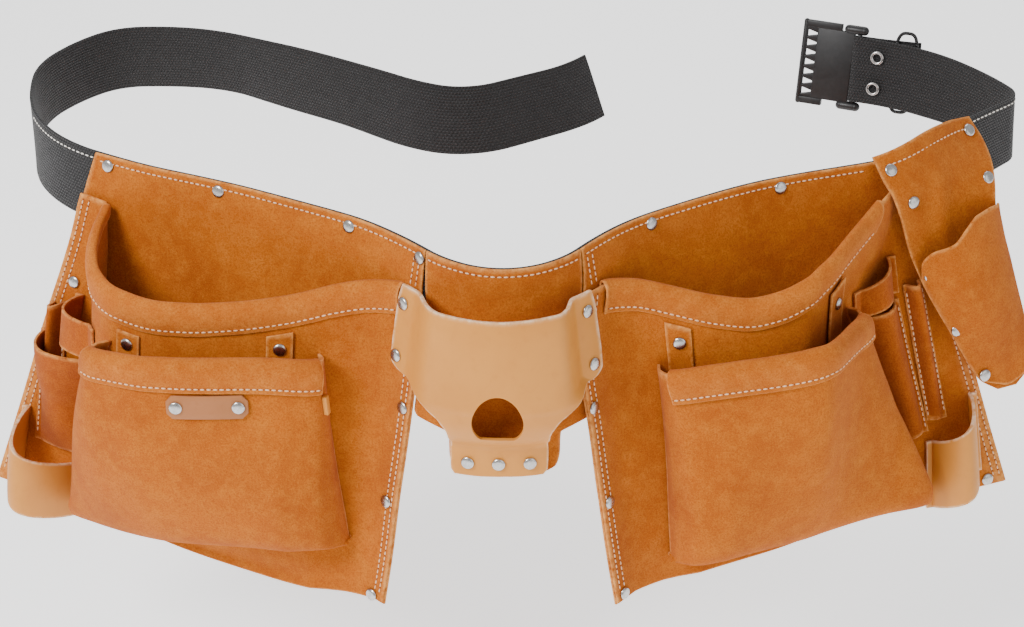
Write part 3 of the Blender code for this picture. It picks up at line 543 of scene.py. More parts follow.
def stations(values: Sequence[float], longest: float) -> list[float]:
    """The values with more put between those that are further apart than the longest.

    Args:
        values: The stations in rising order.
        longest: The longest step allowed.

    Returns:
        The stations with the ones put between them.
    """
    found = [values[0]]
    for before, after in zip(values, values[1:]):
        count = max(1, math.ceil((after - before) / longest - 1e-6))
        found.extend(mix(before, after, (k + 1) / count) for k in range(count))
    return found


def at_station(values: Sequence[float], share: float) -> float:
    """The value at a share of the stations' count.

    Args:
        values: The stations in rising order.
        share: The share of their count, 0 to 1.

    Returns:
        The value there.
    """
    k = share * (len(values) - 1)
    i = min(int(k + 1e-6), len(values) - 2)
    return mix(values[i], values[i + 1], k - i)


class BeltLine:
    """The top edge of the belt in plan, as a chain of arcs from the middle of the front."""

    def __init__(self, side: int, runs: tuple) -> None:
        """Lays out one side of the belt in plan, seen from above.

        Args:
            side: 1 for the right side and -1 for the left.
            runs: Lengths of belt, each with its turns.
        """
        self.side = side
        self.arcs = []
        x, y, heading, run, tilt = 0.0, self.top_set_back(), 0.0, 0.0, FRONT_TILT
        for length, turns in runs:
            for turn in turns:
                span = length * turn.share
                bend = math.radians(turn.turn)
                self.arcs.append((run, span, x, y, heading, bend, tilt, turn.tilt))
                chord, mid = self.chord(span, bend, 1.0), heading + bend / 2
                x, y = x + chord * math.cos(mid), y + chord * math.sin(mid)
                heading, run, tilt = heading + bend, run + span, turn.tilt
        self.length = run

    @staticmethod
    def top_set_back() -> float:
        """How far the top edge lies behind the origin, so that the belt's middle is at it."""
        return WEBBING_WIDTH / 2 * math.sin(math.radians(FRONT_TILT))

    @staticmethod
    def chord(span: float, bend: float, share: float) -> float:
        """The straight distance over a bending stretch, up to a share of its span."""
        half = bend * share / 2
        return span * share * (math.sin(half) / half if abs(half) > 1e-6 else 1.0)

    def at(self, run: float, lowest: float, highest: float) -> tuple[float, float, float, float]:
        """The plan point, heading and tilt at a run, on straight tangents outside the limits.

        Args:
            run: The length along the belt from its middle.
            lowest: The run where the lower tangent starts.
            highest: The run where the upper tangent starts.

        Returns:
            The place's X and Y, the heading and the tilt.
        """
        held = min(max(run, lowest), highest)
        found = self.arcs[0]
        for arc in self.arcs:
            if arc[0] <= held + 1e-9:
                found = arc
        start, span, x, y, heading, bend, tilt, end_tilt = found
        share = min((held - start) / span, 1.0)
        chord, mid = self.chord(span, bend, share), heading + bend * share / 2
        x, y = x + chord * math.cos(mid), y + chord * math.sin(mid)
        heading += bend * share
        x, y = x + (run - held) * math.cos(heading), y + (run - held) * math.sin(heading)
        return x, y, heading, math.radians(mix(tilt, end_tilt, share))

    def columns(self) -> list[float]:
        """Runs at which the line is cut, closer together where it bends or bears leather.

        Returns:
            The runs in rising order.
        """
        cuts = [0.0]
        for start, span, _, _, _, bend, _, _ in self.arcs:
            longest = 20 * MM if start < CENTRE_HALF + BAG_TOP - MM else 40 * MM
            count = math.ceil(max(abs(math.degrees(bend)) / 12, span / longest) - 1e-6)
            cuts.extend(start + span * (k + 1) / count for k in range(count))
        return cuts


class Drape:
    """The surface that hangs from the belt line: along it, down from it and out from it."""

    def __init__(self, line: BeltLine, lowest: float, highest: float) -> None:
        """Keeps a belt line and the limits past which it runs straight."""
        self.line, self.lowest, self.highest = line, lowest, highest

    def point(self, run: float, down: float, out: float) -> Vector:
        """A place on leather that hangs from the belt line.

        Args:
            run: The length along the belt from its middle.
            down: The depth below the belt's top edge.
            out: The distance off the belt's inner face.

        Returns:
            The place.
        """
        x, y, heading, tilt = self.line.at(run, self.lowest, self.highest)
        away = down * math.sin(tilt) + out * math.cos(tilt)
        height = WEBBING_WIDTH / 2 * math.cos(math.radians(FRONT_TILT))
        return Vector(
            (
                self.line.side * (x + away * math.sin(heading)),
                y - away * math.cos(heading),
                height - down * math.cos(tilt) + out * math.sin(tilt),
            )
        )


LINES = {1: BeltLine(1, RIGHT_RUNS), -1: BeltLine(-1, LEFT_RUNS)}


def ribbon_point(run: float, down: float, out: float) -> Vector:
    """The surface all along the belt: run counts from the middle, positive to the right."""
    line = LINES[1 if run >= 0 else -1]
    return Drape(line, 0.0, line.length).point(abs(run), down, out)


class Skin:
    """A surface of two shares, which further layers are laid on."""

    def __init__(self, place: Callable[[float, float], Vector], outward: int = 1) -> None:
        """Keeps the surface's function and the side that faces outwards."""
        self.place, self.outward = place, outward

    def normal(self, u: float, v: float, step: float = 4e-3) -> Vector:
        """The outward normal at a place on the surface.

        Args:
            u: The first share.
            v: The second share.
            step: The share by which the slope is measured.

        Returns:
            The unit normal.
        """
        du = self.place(min(u + step, 1), v) - self.place(max(u - step, 0), v)
        dv = self.place(u, min(v + step, 1)) - self.place(u, max(v - step, 0))
        return du.cross(dv).normalized() * self.outward

    def lifted(self, u: float, v: float, distance: float) -> Vector:
        """A place off the surface by a distance."""
        return self.place(u, v) + self.normal(u, v) * distance


PANEL_LIFT = WEBBING_THICKNESS + WEBBING_CLEARANCE
WALL_LIFT = PANEL_LIFT + SUEDE_THICKNESS + CLEARANCE
ON_SUEDE = SUEDE_THICKNESS + CLEARANCE


class Bag:
    """One bag: its panel, large pouch, front pouch and what hangs at its outer side."""

    def __init__(self, hang: Hang) -> None:
        """Sets up one bag on its side of the belt line.

        Args:
            hang: What differs between the two bags.
        """
        self.hang = hang
        self.name = "right" if hang.side > 0 else "left"
        self.drape = Drape(LINES[hang.side], CENTRE_HALF, CENTRE_HALF + BAG_TOP * FLAT_SHARE)
        self.turn = -hang.side

    def point(self, along: float, down: float, out: float) -> Vector:
        """A place by its length along the bag, down from the top edge and out from the belt."""
        return self.drape.point(CENTRE_HALF + along, down, out)

    def inner_edge(self, down: float) -> float:
        """Where the panel's inner edge is at this depth."""
        return -self.hang.lean * ease(down / PANEL_LEAN_DOWN)

    def outer_edge(self, down: float) -> float:
        """Where the panel's outer edge is at this depth."""
        return BAG_TOP + PANEL_OUTER_FLARE * down / PANEL_OUTER_DOWN

    def bottom(self, across: float) -> float:
        """How deep the panel reaches at a share of its width."""
        slope = mix(self.hang.inner_height, self.hang.outer_height, across)
        return slope + PANEL_BELLY * math.sin(math.pi * across)

    def drawn_along(self, across: float, down: float) -> float:
        """Along the belt, with the outer part drawn inwards below the mouth."""
        drawn = ease((across - 0.45) / 0.4) * ease((down - PULL_FROM) / PULL_LENGTH)
        return across * BAG_TOP - self.hang.pull * drawn

    def pouch_along(self, across: float, down: float) -> float:
        """Along the belt at a share of the panel's width, at this height.

        The pouch's outer foot hangs straight down, and the flat margin beyond it
        follows the flaring edge of the panel.

        Args:
            across: The share of the panel's width.
            down: The depth below the belt's top edge.

        Returns:
            The length along the belt.
        """
        mouth = self.hang.mouth
        foot = mouth[-2].across
        if across <= foot:
            spread = max(1 - across / mouth[2].across, 0.0)
            return self.drawn_along(across, down) + self.inner_edge(down) * spread
        at_foot = self.drawn_along(foot, down)
        return mix(at_foot, self.outer_edge(down), (across - foot) / (1 - foot))

    def across_at(self, along: float, down: float) -> float:
        """The share of the panel's width at a place along the belt, the other way round.

        Args:
            along: The length along the belt.
            down: The depth below the belt's top edge.

        Returns:
            The share, 0 to 1.
        """
        low, high = 0.0, 1.0
        for _ in range(30):
            middle = (low + high) / 2
            if self.pouch_along(middle, down) < along:
                low = middle
            else:
                high = middle
        return (low + high) / 2

    def panel(self) -> tuple[Skin, int, int]:
        """The back panel, cut at the same places as the pouch's wall that lies on it.

        Returns:
            The surface, and its counts of columns and rows.
        """
        columns = self.columns()
        rows = stations([0.0, 0.12, 1.0], 0.3)

        def place(u: float, v: float) -> Vector:
            """A place on the back panel.

            Args:
                u: The share across.
                v: The share down.

            Returns:
                The place.
            """
            across = at_station(columns, u)
            down = self.bottom(across) * at_station(rows, v)
            return self.point(self.pouch_along(across, down), down, PANEL_LIFT)

        return Skin(place, self.turn), len(columns) - 1, len(rows) - 1

    def columns(self) -> list[float]:
        """The shares of the width at which the pouch is cut."""
        return stations([row.across for row in self.hang.mouth], 0.08)

    def lip(self, across: float) -> float:
        """The depth of the large pouch's lip at a share of its width."""
        return MAIN_LIP_HEIGHT + MAIN_LIP_DIP * smooth(self.hang.mouth, "dip", across)

    def wall_out(self, across: float, down: float) -> float:
        """How far the back face of the large pouch's wall stands from the belt.

        Args:
            across: The share of the panel's width.
            down: The depth below the belt's top edge.

        Returns:
            The distance.
        """
        lip = self.lip(across)
        share = (down - lip) / (self.bottom(across) - lip)
        bulge = MAIN_DEPTH * smooth(self.hang.mouth, "out", across) * smooth(MAIN_FALL, "out", share)
        stand = MAIN_STANDOFF * (1 - ease((down - lip) / (2 * MAIN_RIM_WIDTH)))
        return WALL_LIFT + bulge + stand

    def lay(self, along: float, down: float, lift: float) -> tuple[Vector, Vector]:
        """A place on the large pouch's wall, lifted off its back face, and its normal.

        Args:
            along: The length along the belt.
            down: The depth below the belt's top edge.
            lift: The distance off the back face.

        Returns:
            The place and the wall's normal there.
        """

        def on(a: float, d: float) -> Vector:
            """A place on the wall's back face."""
            return self.point(a, d, self.wall_out(self.across_at(a, d), d))

        step = 0.5 * MM
        du = on(along + step, down) - on(along - step, down)
        dv = on(along, down + step) - on(along, down - step)
        normal = du.cross(dv).normalized() * self.turn
        return on(along, down) + normal * lift, normal

    def main_wall(self) -> tuple[Skin, int, int]:
        """The large pouch's wall.

        Returns:
            The surface, and its counts of columns and rows.
        """
        columns = self.columns()
        rows = [row.down for row in MAIN_FALL]

        def place(u: float, v: float) -> Vector:
            """A place on the large pouch's wall.

            Args:
                u: The share across.
                v: The share down.

            Returns:
                The place.
            """
            across = at_station(columns, u)
            lip = self.lip(across)
            down = mix(lip, self.bottom(across) - 1.5 * MM, at_station(rows, v))
            return self.point(self.pouch_along(across, down), down, self.wall_out(across, down))

        return Skin(place, self.turn), len(columns) - 1, len(rows) - 1

    def front_wall(self) -> tuple[Skin, int, int]:
        """The small pouch's wall, with its side gussets.

        Returns:
            The surface, and its counts of columns and rows.
        """
        hang = self.hang
        columns = stations([row.around for row in FRONT_SECTION], 0.075)
        rows = [row.row for row in FRONT_ROWS]

        def place(u: float, v: float) -> Vector:
            """A place on the small pouch's wall.

            Args:
                u: The share around.
                v: The share down.

            Returns:
                The place.
            """
            around, row = at_station(columns, u), at_station(rows, v)
            fall = smooth(FRONT_ROWS, "down", row)
            left = mix(hang.inset, hang.bottom_inset, fall)
            width = mix(hang.top_width, FRONT_BOTTOM_WIDTH, min(fall / hang.spread, 1.0))
            across = smooth(FRONT_SECTION, "across", around)
            if around < 0.5:
                behind = 1 - min(smooth(FRONT_SECTION, "out", around), 1.0)
                across += hang.side_tuck * behind * (1 - fall)
            inside = min(max(across, 0.0), 1.0)
            top = mix(hang.top_inner, hang.top_outer, inside)
            low = mix(hang.bottom_inner, hang.bottom_outer, inside)
            along = left + width * across
            down = mix(top, low, fall)
            depth = smooth(FRONT_SECTION, "out", around) * smooth(FRONT_ROWS, "out", row)
            base, _ = self.lay(along, down, ON_SUEDE + 3 * CLEARANCE)
            away = self.point(along, down, 1.0) - self.point(along, down, 0.0)
            return base + away * (FRONT_DEPTH * depth)

        return Skin(place, self.turn), len(columns) - 1, len(rows) - 1

    def tab_along(self, place: str, inward: float) -> float:
        """Along the belt, measured inwards from the front pouch's foot at that end.

        Args:
            place: Which end, inner or outer.
            inward: The distance inwards from the foot.

        Returns:
            The length along the belt.
        """
        if place == "inner":
            return self.hang.inset + inward
        return self.hang.inset + self.hang.top_width - inward

    def tab(self, along: float, lift: float) -> Skin:
        """A strip on the large pouch's wall, from under its rim to behind the front pouch.

        Args:
            along: The length along the belt.
            lift: The distance off the wall.

        Returns:
            The surface.
        """
        half = GUSSET_TAB_WIDTH / 2

        def place(u: float, v: float) -> Vector:
            """A place on the strip.

            Args:
                u: The share across.
                v: The share down.

            Returns:
                The place.
            """
            a = along + mix(-half, half, u)
            top = self.lip(self.across_at(a, 60 * MM)) + MAIN_RIM_WIDTH + 4.5 * MM
            return self.lay(a, mix(top, GUSSET_TAB_END, v), SUEDE_THICKNESS + lift)[0]

        return Skin(place, self.turn)

    def arch(self, shape: Arch, flap: float) -> Skin:
        """A band whose two ends lie on the wall, with the bulge between them.

        Args:
            shape: The band's table row.
            flap: The length of each end that lies on the wall.

        Returns:
            The surface.
        """
        turn_share = 0.14

        def place(u: float, v: float) -> Vector:
            """A place on the band.

            Args:
                u: The share around.
                v: The share down.

            Returns:
                The place.
            """
            a0 = mix(shape.inner, shape.foot_inner, v) * MM
            a1 = mix(shape.outer, shape.foot_outer, v) * MM
            share = min(max((u - turn_share) / (1 - 2 * turn_share), 0.0), 1.0)
            top = mix(shape.top_inner, shape.top_outer, share) * MM
            low = mix(shape.low_inner, shape.low_outer, share) * MM
            down = mix(top, low, v)
            lift = ON_SUEDE + 2 * CLEARANCE
            if u < turn_share:
                return self.lay(a0 - flap * (1 - u / turn_share), down, lift)[0]
            if u > 1 - turn_share:
                return self.lay(a1 + flap * (1 - (1 - u) / turn_share), down, lift)[0]
            start, end = self.lay(a0, down, lift)[0], self.lay(a1, down, lift)[0]
            along = (end - start).normalized()
            away = self.point(a0, down, 1.0) - self.point(a0, down, 0.0)
            away = (away - along * away.dot(along)).normalized()
            bulge = shape.bulge * MM * mix(1.0, shape.shut, v**3)
            swell = math.sin(math.pi * share) ** 0.75
            return start.lerp(end, share) + away * (bulge * swell)

        return Skin(place, self.turn)


WARP_REACH = 1.5 * MM
WARP_SCALE = 13.0
STITCH_PITCH = 4.3 * MM
STITCH_LENGTH = 3.4 * MM
STITCH_RADIUS = 0.46 * MM
TOP_SEAM_DOWN = 5 * MM
LATHE_STEPS = 26
BAR_SEGMENTS = 20
SHARP_ANGLE = 55
SOLID_EDGE = 0.35 * MM
EDGE_ANGLE = 50
EDGE_REACH = 1.6 * MM


def warped(place: Vector) -> Vector:
    """Shifts a place by the slow, uneven give of worn leather, the same for all layers."""
    return place + noise.noise_vector(place * WARP_SCALE) * WARP_REACH


class Tree:
    """A small helper that adds nodes to one node tree."""

    def __init__(self, tree: bpy.types.NodeTree) -> None:
        """Keeps the tree."""
        self.tree = tree

    def add(self, kind: str, values: dict[Any, Any] | None = None, **settings: Any) -> Any:
        """Adds a node.

        Args:
            kind: The node's type.
            values: Input sockets by name or number, with a value or a socket to link.
            **settings: Properties of the node itself.

        Returns:
            The new node.
        """
        made = self.tree.nodes.new(kind)
        for key, value in settings.items():
            setattr(made, key, value)
        for key, value in (values or {}).items():
            if isinstance(value, bpy.types.NodeSocket):
                self.tree.links.new(value, made.inputs[key])
            else:
                made.inputs[key].default_value = value
        return made

    def maths(self, operation: str, first: Any, second: Any = 0.0) -> Any:
        """Adds a Math node and gives its output."""
        return self.add("ShaderNodeMath", {0: first, 1: second}, operation=operation).outputs[0]

    def blend(self, share: Any, first: Any, second: Any) -> Any:
        """Mixes two colours and gives the result.

        Args:
            share: The share of the second colour.
            first: The first colour.
            second: The second colour.

        Returns:
            The mixed colour's socket.
        """
        made = self.add(
            "ShaderNodeMix", {"Factor": share, 6: first, 7: second}, data_type="RGBA"
        )
        return made.outputs[2]

    def ramp(self, value: Any, low: float, high: float) -> Any:
        """Maps a value between two limits to 0 to 1."""
        made = self.add("ShaderNodeMapRange", {0: value, 1: low, 2: high})
        return made.outputs[0]

    def noise(self, scale: Any, detail: float = 2.0, rough: float = 0.5, place: Any = None) -> Any:
        """Adds a noise texture on the belt's own coordinates and gives its value.

        Args:
            scale: The texture's scale.
            detail: Its octaves.
            rough: Their roughness.
            place: Other coordinates, if any.

        Returns:
            The value's socket.
        """
        place = place or self.add("ShaderNodeTexCoord").outputs["Object"]
        values = {"Vector": place, "Scale": scale, "Detail": detail, "Roughness": rough}
        return self.add("ShaderNodeTexNoise", values).outputs[0]


def colour(red: int, green: int, blue: int) -> tuple[float, float, float, float]:
    """Turns screen values 0 to 255 into the linear colour that nodes take."""
    return (*((v / 255) ** 2.2 for v in (red, green, blue)), 1.0)


class Effect(Enum):
    """The shader groups that several finishes share."""

    NAP = "nap"
    GRAIN = "grain"
    WEAVE = "weave"
    EDGE_WEAR = "edge_wear"
    SMUDGE = "smudge"


class Effects:
    """Builds each shared shader group once."""

    def __init__(self) -> None:
        """Starts with no groups."""
        self.made: dict[Effect, bpy.types.NodeTree] = {}

    def group(self, effect: Effect) -> bpy.types.NodeTree:
        """Gives an effect's group, built on first use.

        Args:
            effect: The effect wanted.

        Returns:
            The group.
        """
        if effect not in self.made:
            self.made[effect] = getattr(self, f"build_{effect.value}")()
        return self.made[effect]

    @staticmethod
    def blank(
        name: str, inputs: dict[str, Any], outputs: dict[str, str]
    ) -> tuple[Any, Tree, Any, Any]:
        """Makes an empty group with named sockets.

        Args:
            name: The group's name.
            inputs: Input names, with a colour or a number as the first value.
            outputs: Output names and their socket types.

        Returns:
            The group, its helper, its input node and its output node.
        """
        group = bpy.data.node_groups.new(name, "ShaderNodeTree")
        for key, value in inputs.items():
            kind = "NodeSocketColor" if isinstance(value, tuple) else "NodeSocketFloat"
            socket = group.interface.new_socket(name=key, in_out="INPUT", socket_type=kind)
            socket.default_value = value
        for key, kind in outputs.items():
            group.interface.new_socket(name=key, in_out="OUTPUT", socket_type=kind)
        tree = Tree(group)
        return group, tree, tree.add("NodeGroupInput"), tree.add("NodeGroupOutput")

    def build_nap(self) -> bpy.types.NodeTree:
        """Suede: cloudy patches, brushed streaks and a fine fibrous nap.

        Returns:
            The group.
        """
        given = {"Base": (1, 1, 1, 1), "Light": (1, 1, 1, 1), "Dark": (0, 0, 0, 1), "Size": 1.0}
        wanted = {"Color": "NodeSocketColor", "Height": "NodeSocketFloat", "Rough": "NodeSocketFloat"}
        group, tree, start, end = self.blank("suede_nap", given, wanted)
        size = start.outputs["Size"]
        patch = tree.noise(tree.maths("MULTIPLY", size, 16.0), 3.0, 0.55)
        mottle = tree.noise(tree.maths("MULTIPLY", size, 95.0), 4.0, 0.62)
        nap = tree.noise(tree.maths("MULTIPLY", size, 760.0), 4.0, 0.7)
        fibre = tree.noise(tree.maths("MULTIPLY", size, 1900.0), 2.0, 0.6)
        shade = tree.blend(tree.ramp(patch, 0.2, 0.62), start.outputs["Dark"], start.outputs["Base"])
        lit = tree.maths("MULTIPLY", tree.ramp(mottle, 0.4, 0.76), 0.45)
        shade = tree.blend(lit, shade, start.outputs["Light"])
        pits = tree.maths("MULTIPLY", tree.ramp(nap, 0.56, 0.36), 0.75)
        shade = tree.blend(pits, shade, start.outputs["Dark"])
        tips = tree.maths("MULTIPLY", tree.ramp(fibre, 0.5, 0.68), 0.4)
        shade = tree.blend(tips, shade, start.outputs["Light"])
        height = tree.maths("ADD", tree.maths("MULTIPLY", nap, 0.7), tree.maths("MULTIPLY", fibre, 0.3))
        height = tree.maths("ADD", height, tree.maths("MULTIPLY", mottle, 0.8))
        rough = tree.maths("ADD", 0.82, tree.maths("MULTIPLY", mottle, 0.2))
        for key, value in (("Color", shade), ("Height", height), ("Rough", rough)):
            tree.tree.links.new(value, end.inputs[key])
        return group

    def build_grain(self) -> bpy.types.NodeTree:
        """Smooth leather: pores, faint creases and slow cloudy colour.

        Returns:
            The group.
        """
        given = {"Base": (1, 1, 1, 1), "Dark": (0, 0, 0, 1), "Pores": 1.0}
        wanted = {"Color": "NodeSocketColor", "Height": "NodeSocketFloat", "Rough": "NodeSocketFloat"}
        group, tree, start, end = self.blank("smooth_grain", given, wanted)
        place = tree.add("ShaderNodeTexCoord").outputs["Object"]
        cells = tree.add(
            "ShaderNodeTexVoronoi", {"Vector": place, "Scale": 900.0}, feature="DISTANCE_TO_EDGE"
        ).outputs[0]
        cloud = tree.noise(22.0, 3.0, 0.55)
        streak = tree.noise(170.0, 3.0, 0.6)
        share = tree.maths("MULTIPLY", tree.ramp(cloud, 0.4, 0.7), 0.45)
        shade = tree.blend(share, start.outputs["Base"], start.outputs["Dark"])
        spots = tree.maths("MULTIPLY", tree.ramp(streak, 0.55, 0.72), 0.25)
        shade = tree.blend(spots, shade, start.outputs["Dark"])
        pores = tree.maths("MULTIPLY", tree.ramp(cells, 0.0, 0.12), start.outputs["Pores"])
        height = tree.maths("ADD", pores, tree.maths("MULTIPLY", streak, 1.2))
        rough = tree.maths("ADD", 0.42, tree.maths("MULTIPLY", cloud, 0.2))
        for key, value in (("Color", shade), ("Height", height), ("Rough", rough)):
            tree.tree.links.new(value, end.inputs[key])
        return group

    def build_weave(self) -> bpy.types.NodeTree:
        """Webbing: rows of small floats across the strap and warp lines along it.

        Returns:
            The group.
        """
        given = {"Base": (0, 0, 0, 1), "Light": (1, 1, 1, 1), "Pitch": 2.2 * MM}
        wanted = {"Color": "NodeSocketColor", "Height": "NodeSocketFloat"}
        group, tree, start, end = self.blank("webbing_weave", given, wanted)
        uv = tree.add("ShaderNodeSeparateXYZ", {0: tree.add("ShaderNodeUVMap").outputs[0]})
        along = tree.maths("DIVIDE", uv.outputs[0], start.outputs["Pitch"])
        across = tree.maths("DIVIDE", uv.outputs[1], start.outputs["Pitch"])
        row = tree.maths("FLOOR", across)
        shift = tree.maths("MULTIPLY", tree.maths("MODULO", row, 2.0), 0.5)
        ribs = tree.maths("SINE", tree.maths("MULTIPLY", tree.maths("ADD", along, shift), math.tau))
        lines = tree.maths("SINE", tree.maths("MULTIPLY", across, math.tau))
        relief = tree.maths("ADD", tree.maths("MULTIPLY", ribs, 0.5), tree.maths("MULTIPLY", lines, 0.5))
        fuzz = tree.noise(1300.0, 3.0, 0.6)
        lit = tree.maths("MULTIPLY", tree.ramp(relief, -0.1, 0.9), tree.ramp(fuzz, 0.3, 0.7))
        shade = tree.blend(lit, start.outputs["Base"], start.outputs["Light"])
        height = tree.maths("ADD", relief, tree.maths("MULTIPLY", fuzz, 0.5))
        for key, value in (("Color", shade), ("Height", height)):
            tree.tree.links.new(value, end.inputs[key])
        return group

    def build_edge_wear(self) -> bpy.types.NodeTree:
        """Paler, rubbed edges: reads how near a surface point is to a cut edge.

        Returns:
            The group.
        """
        given = {"Color": (1, 1, 1, 1), "Worn": (1, 1, 1, 1), "Amount": 0.5}
        group, tree, start, end = self.blank("edge_wear", given, {"Color": "NodeSocketColor"})
        near = tree.add("ShaderNodeAttribute", attribute_name="edge").outputs["Fac"]
        broken = tree.maths("MULTIPLY", near, tree.ramp(tree.noise(210.0, 4.0, 0.65), 0.3, 0.62))
        share = tree.maths("MULTIPLY", broken, start.outputs["Amount"])
        shade = tree.blend(share, start.outputs["Color"], start.outputs["Worn"])
        tree.tree.links.new(shade, end.inputs["Color"])
        return group

    def build_smudge(self) -> bpy.types.NodeTree:
        """Hard, smooth surfaces: faint smears and scratches in the gloss.

        Returns:
            The group.
        """
        given = {"Low": 0.2, "High": 0.5, "Scale": 120.0}
        wanted = {"Rough": "NodeSocketFloat", "Height": "NodeSocketFloat"}
        group, tree, start, end = self.blank("smudge", given, wanted)
        smear = tree.noise(start.outputs["Scale"], 4.0, 0.6)
        span = tree.maths("SUBTRACT", start.outputs["High"], start.outputs["Low"])
        rough = tree.maths("ADD", start.outputs["Low"], tree.maths("MULTIPLY", smear, span))
        scratch = tree.noise(2400.0, 2.0, 0.5)
        tree.tree.links.new(rough, end.inputs["Rough"])
        tree.tree.links.new(scratch, end.inputs["Height"])
        return group


EFFECTS = Effects()


@dataclass(frozen=True)
class Suede:
    """Napped leather in one tone."""

    name: str = "suede"
    base: tuple = colour(180, 94, 20)
    light: tuple = colour(210, 130, 46)
    dark: tuple = colour(150, 70, 12)
    worn: tuple = colour(236, 166, 92)
    relief: float = 1.0

    def build(self) -> bpy.types.Material:
        """Makes the material.

        Returns:
            The material.
        """
        made, tree, shader = blank_material(self.name)
        nap = group_node(
            tree, Effect.NAP, {"Base": self.base, "Light": self.light, "Dark": self.dark}
        )
        wear = group_node(
            tree,
            Effect.EDGE_WEAR,
            {"Color": nap.outputs["Color"], "Worn": self.worn, "Amount": 0.75},
        )
        bump = tree.add("ShaderNodeBump", {"Height": nap.outputs["Height"], "Strength": self.relief})
        bump.inputs["Distance"].default_value = 0.5 * MM
        connect(tree, shader, wear.outputs["Color"], nap.outputs["Rough"], bump.outputs[0])
        shader.inputs["Sheen Weight"].default_value = 0.05
        shader.inputs["Sheen Roughness"].default_value = 0.6
        shader.inputs["Specular IOR Level"].default_value = 0.08
        return made


@dataclass(frozen=True)
class SmoothLeather:
    """Pale vegetable-tanned leather."""

    name: str = "smooth_leather"
    base: tuple = colour(210, 138, 58)
    dark: tuple = colour(192, 120, 46)
    worn: tuple = colour(246, 228, 200)

    def build(self) -> bpy.types.Material:
        """Makes the material.

        Returns:
            The material.
        """
        made, tree, shader = blank_material(self.name)
        grain = group_node(tree, Effect.GRAIN, {"Base": self.base, "Dark": self.dark})
        wear = group_node(
            tree,
            Effect.EDGE_WEAR,
            {"Color": grain.outputs["Color"], "Worn": self.worn, "Amount": 0.7},
        )
        bump = tree.add("ShaderNodeBump", {"Height": grain.outputs["Height"], "Strength": 0.16})
        bump.inputs["Distance"].default_value = 0.2 * MM
        connect(tree, shader, wear.outputs["Color"], grain.outputs["Rough"], bump.outputs[0])
        shader.inputs["Specular IOR Level"].default_value = 0.35
        return made


@dataclass(frozen=True)
class Webbing:
    """Black woven strap."""

    name: str = "black_webbing"
    base: tuple = colour(16, 15, 16)
    light: tuple = colour(66, 63, 64)

    def build(self) -> bpy.types.Material:
        """Makes the material.

        Returns:
            The material.
        """
        made, tree, shader = blank_material(self.name)
        weave = group_node(tree, Effect.WEAVE, {"Base": self.base, "Light": self.light})
        bump = tree.add("ShaderNodeBump", {"Height": weave.outputs["Height"], "Strength": 1.0})
        bump.inputs["Distance"].default_value = 0.45 * MM
        smudge = group_node(tree, Effect.SMUDGE, {"Low": 0.6, "High": 0.85})
        connect(tree, shader, weave.outputs["Color"], smudge.outputs["Rough"], bump.outputs[0])
        shader.inputs["Sheen Weight"].default_value = 0.06
        return made


@dataclass(frozen=True)
class Hard:
    """A hard, even finish: metal, moulded plastic or waxed thread."""

    name: str
    tone: tuple
    second: tuple
    metallic: float
    low: float
    high: float
    relief: float = 0.05

    def build(self) -> bpy.types.Material:
        """Makes the material.

        Returns:
            The material.
        """
        made, tree, shader = blank_material(self.name)
        smudge = group_node(tree, Effect.SMUDGE, {"Low": self.low, "High": self.high})
        share = tree.ramp(tree.noise(300.0, 4.0, 0.6), 0.35, 0.7)
        shade = tree.blend(share, self.tone, self.second)
        bump = tree.add("ShaderNodeBump", {"Height": smudge.outputs["Height"], "Strength": self.relief})
        bump.inputs["Distance"].default_value = 0.1 * MM
        connect(tree, shader, shade, smudge.outputs["Rough"], bump.outputs[0])
        shader.inputs["Metallic"].default_value = self.metallic
        return made


def blank_material(name: str) -> tuple[bpy.types.Material, Tree, Any]:
    """Makes a material and gives it, its node helper and its shader.

    Args:
        name: The finish's name.

    Returns:
        The material, its node helper and its shader.
    """
    made = bpy.data.materials.new(f"{name}_finish")
    made.use_nodes = True
    return made, Tree(made.node_tree), made.node_tree.nodes["Principled BSDF"]


def group_node(tree: Tree, effect: Effect, values: dict[str, Any]) -> Any:
    """Places a shared group in a material with its own values.

    Args:
        tree: The material's node helper.
        effect: The effect wanted.
        values: Input names, with a value or a socket to link.

    Returns:
        The group's node.
    """
    made = tree.tree.nodes.new("ShaderNodeGroup")
    made.node_tree = EFFECTS.group(effect)
    for key, value in values.items():
        if isinstance(value, bpy.types.NodeSocket):
            tree.tree.links.new(value, made.inputs[key])
        else:
            made.inputs[key].default_value = value
    return made


def connect(tree: Tree, shader: Any, tone: Any, rough: Any, normal: Any) -> None:
    """Feeds a shader's colour, roughness and normal."""
    for key, value in (("Base Color", tone), ("Roughness", rough), ("Normal", normal)):
        tree.tree.links.new(value, shader.inputs[key])


class Finish(Enum):
    """The finishes, by what they cover."""

    SUEDE = "suede"
    RIM = "rim_suede"
    LINING = "side_suede"
    TAN = "smooth_leather"
    PLATE = "plate_leather"
    WEBBING = "black_webbing"
    PLASTIC = "black_plastic"
    NICKEL = "nickel"
    THREAD = "thread"
    WHITE_THREAD = "white_thread"
    # Dark discs at the needle holes: painted shade standing in for the depth of holes that are not cut.
    NEEDLE_HOLE_SHADE = "needle_hole_shade"


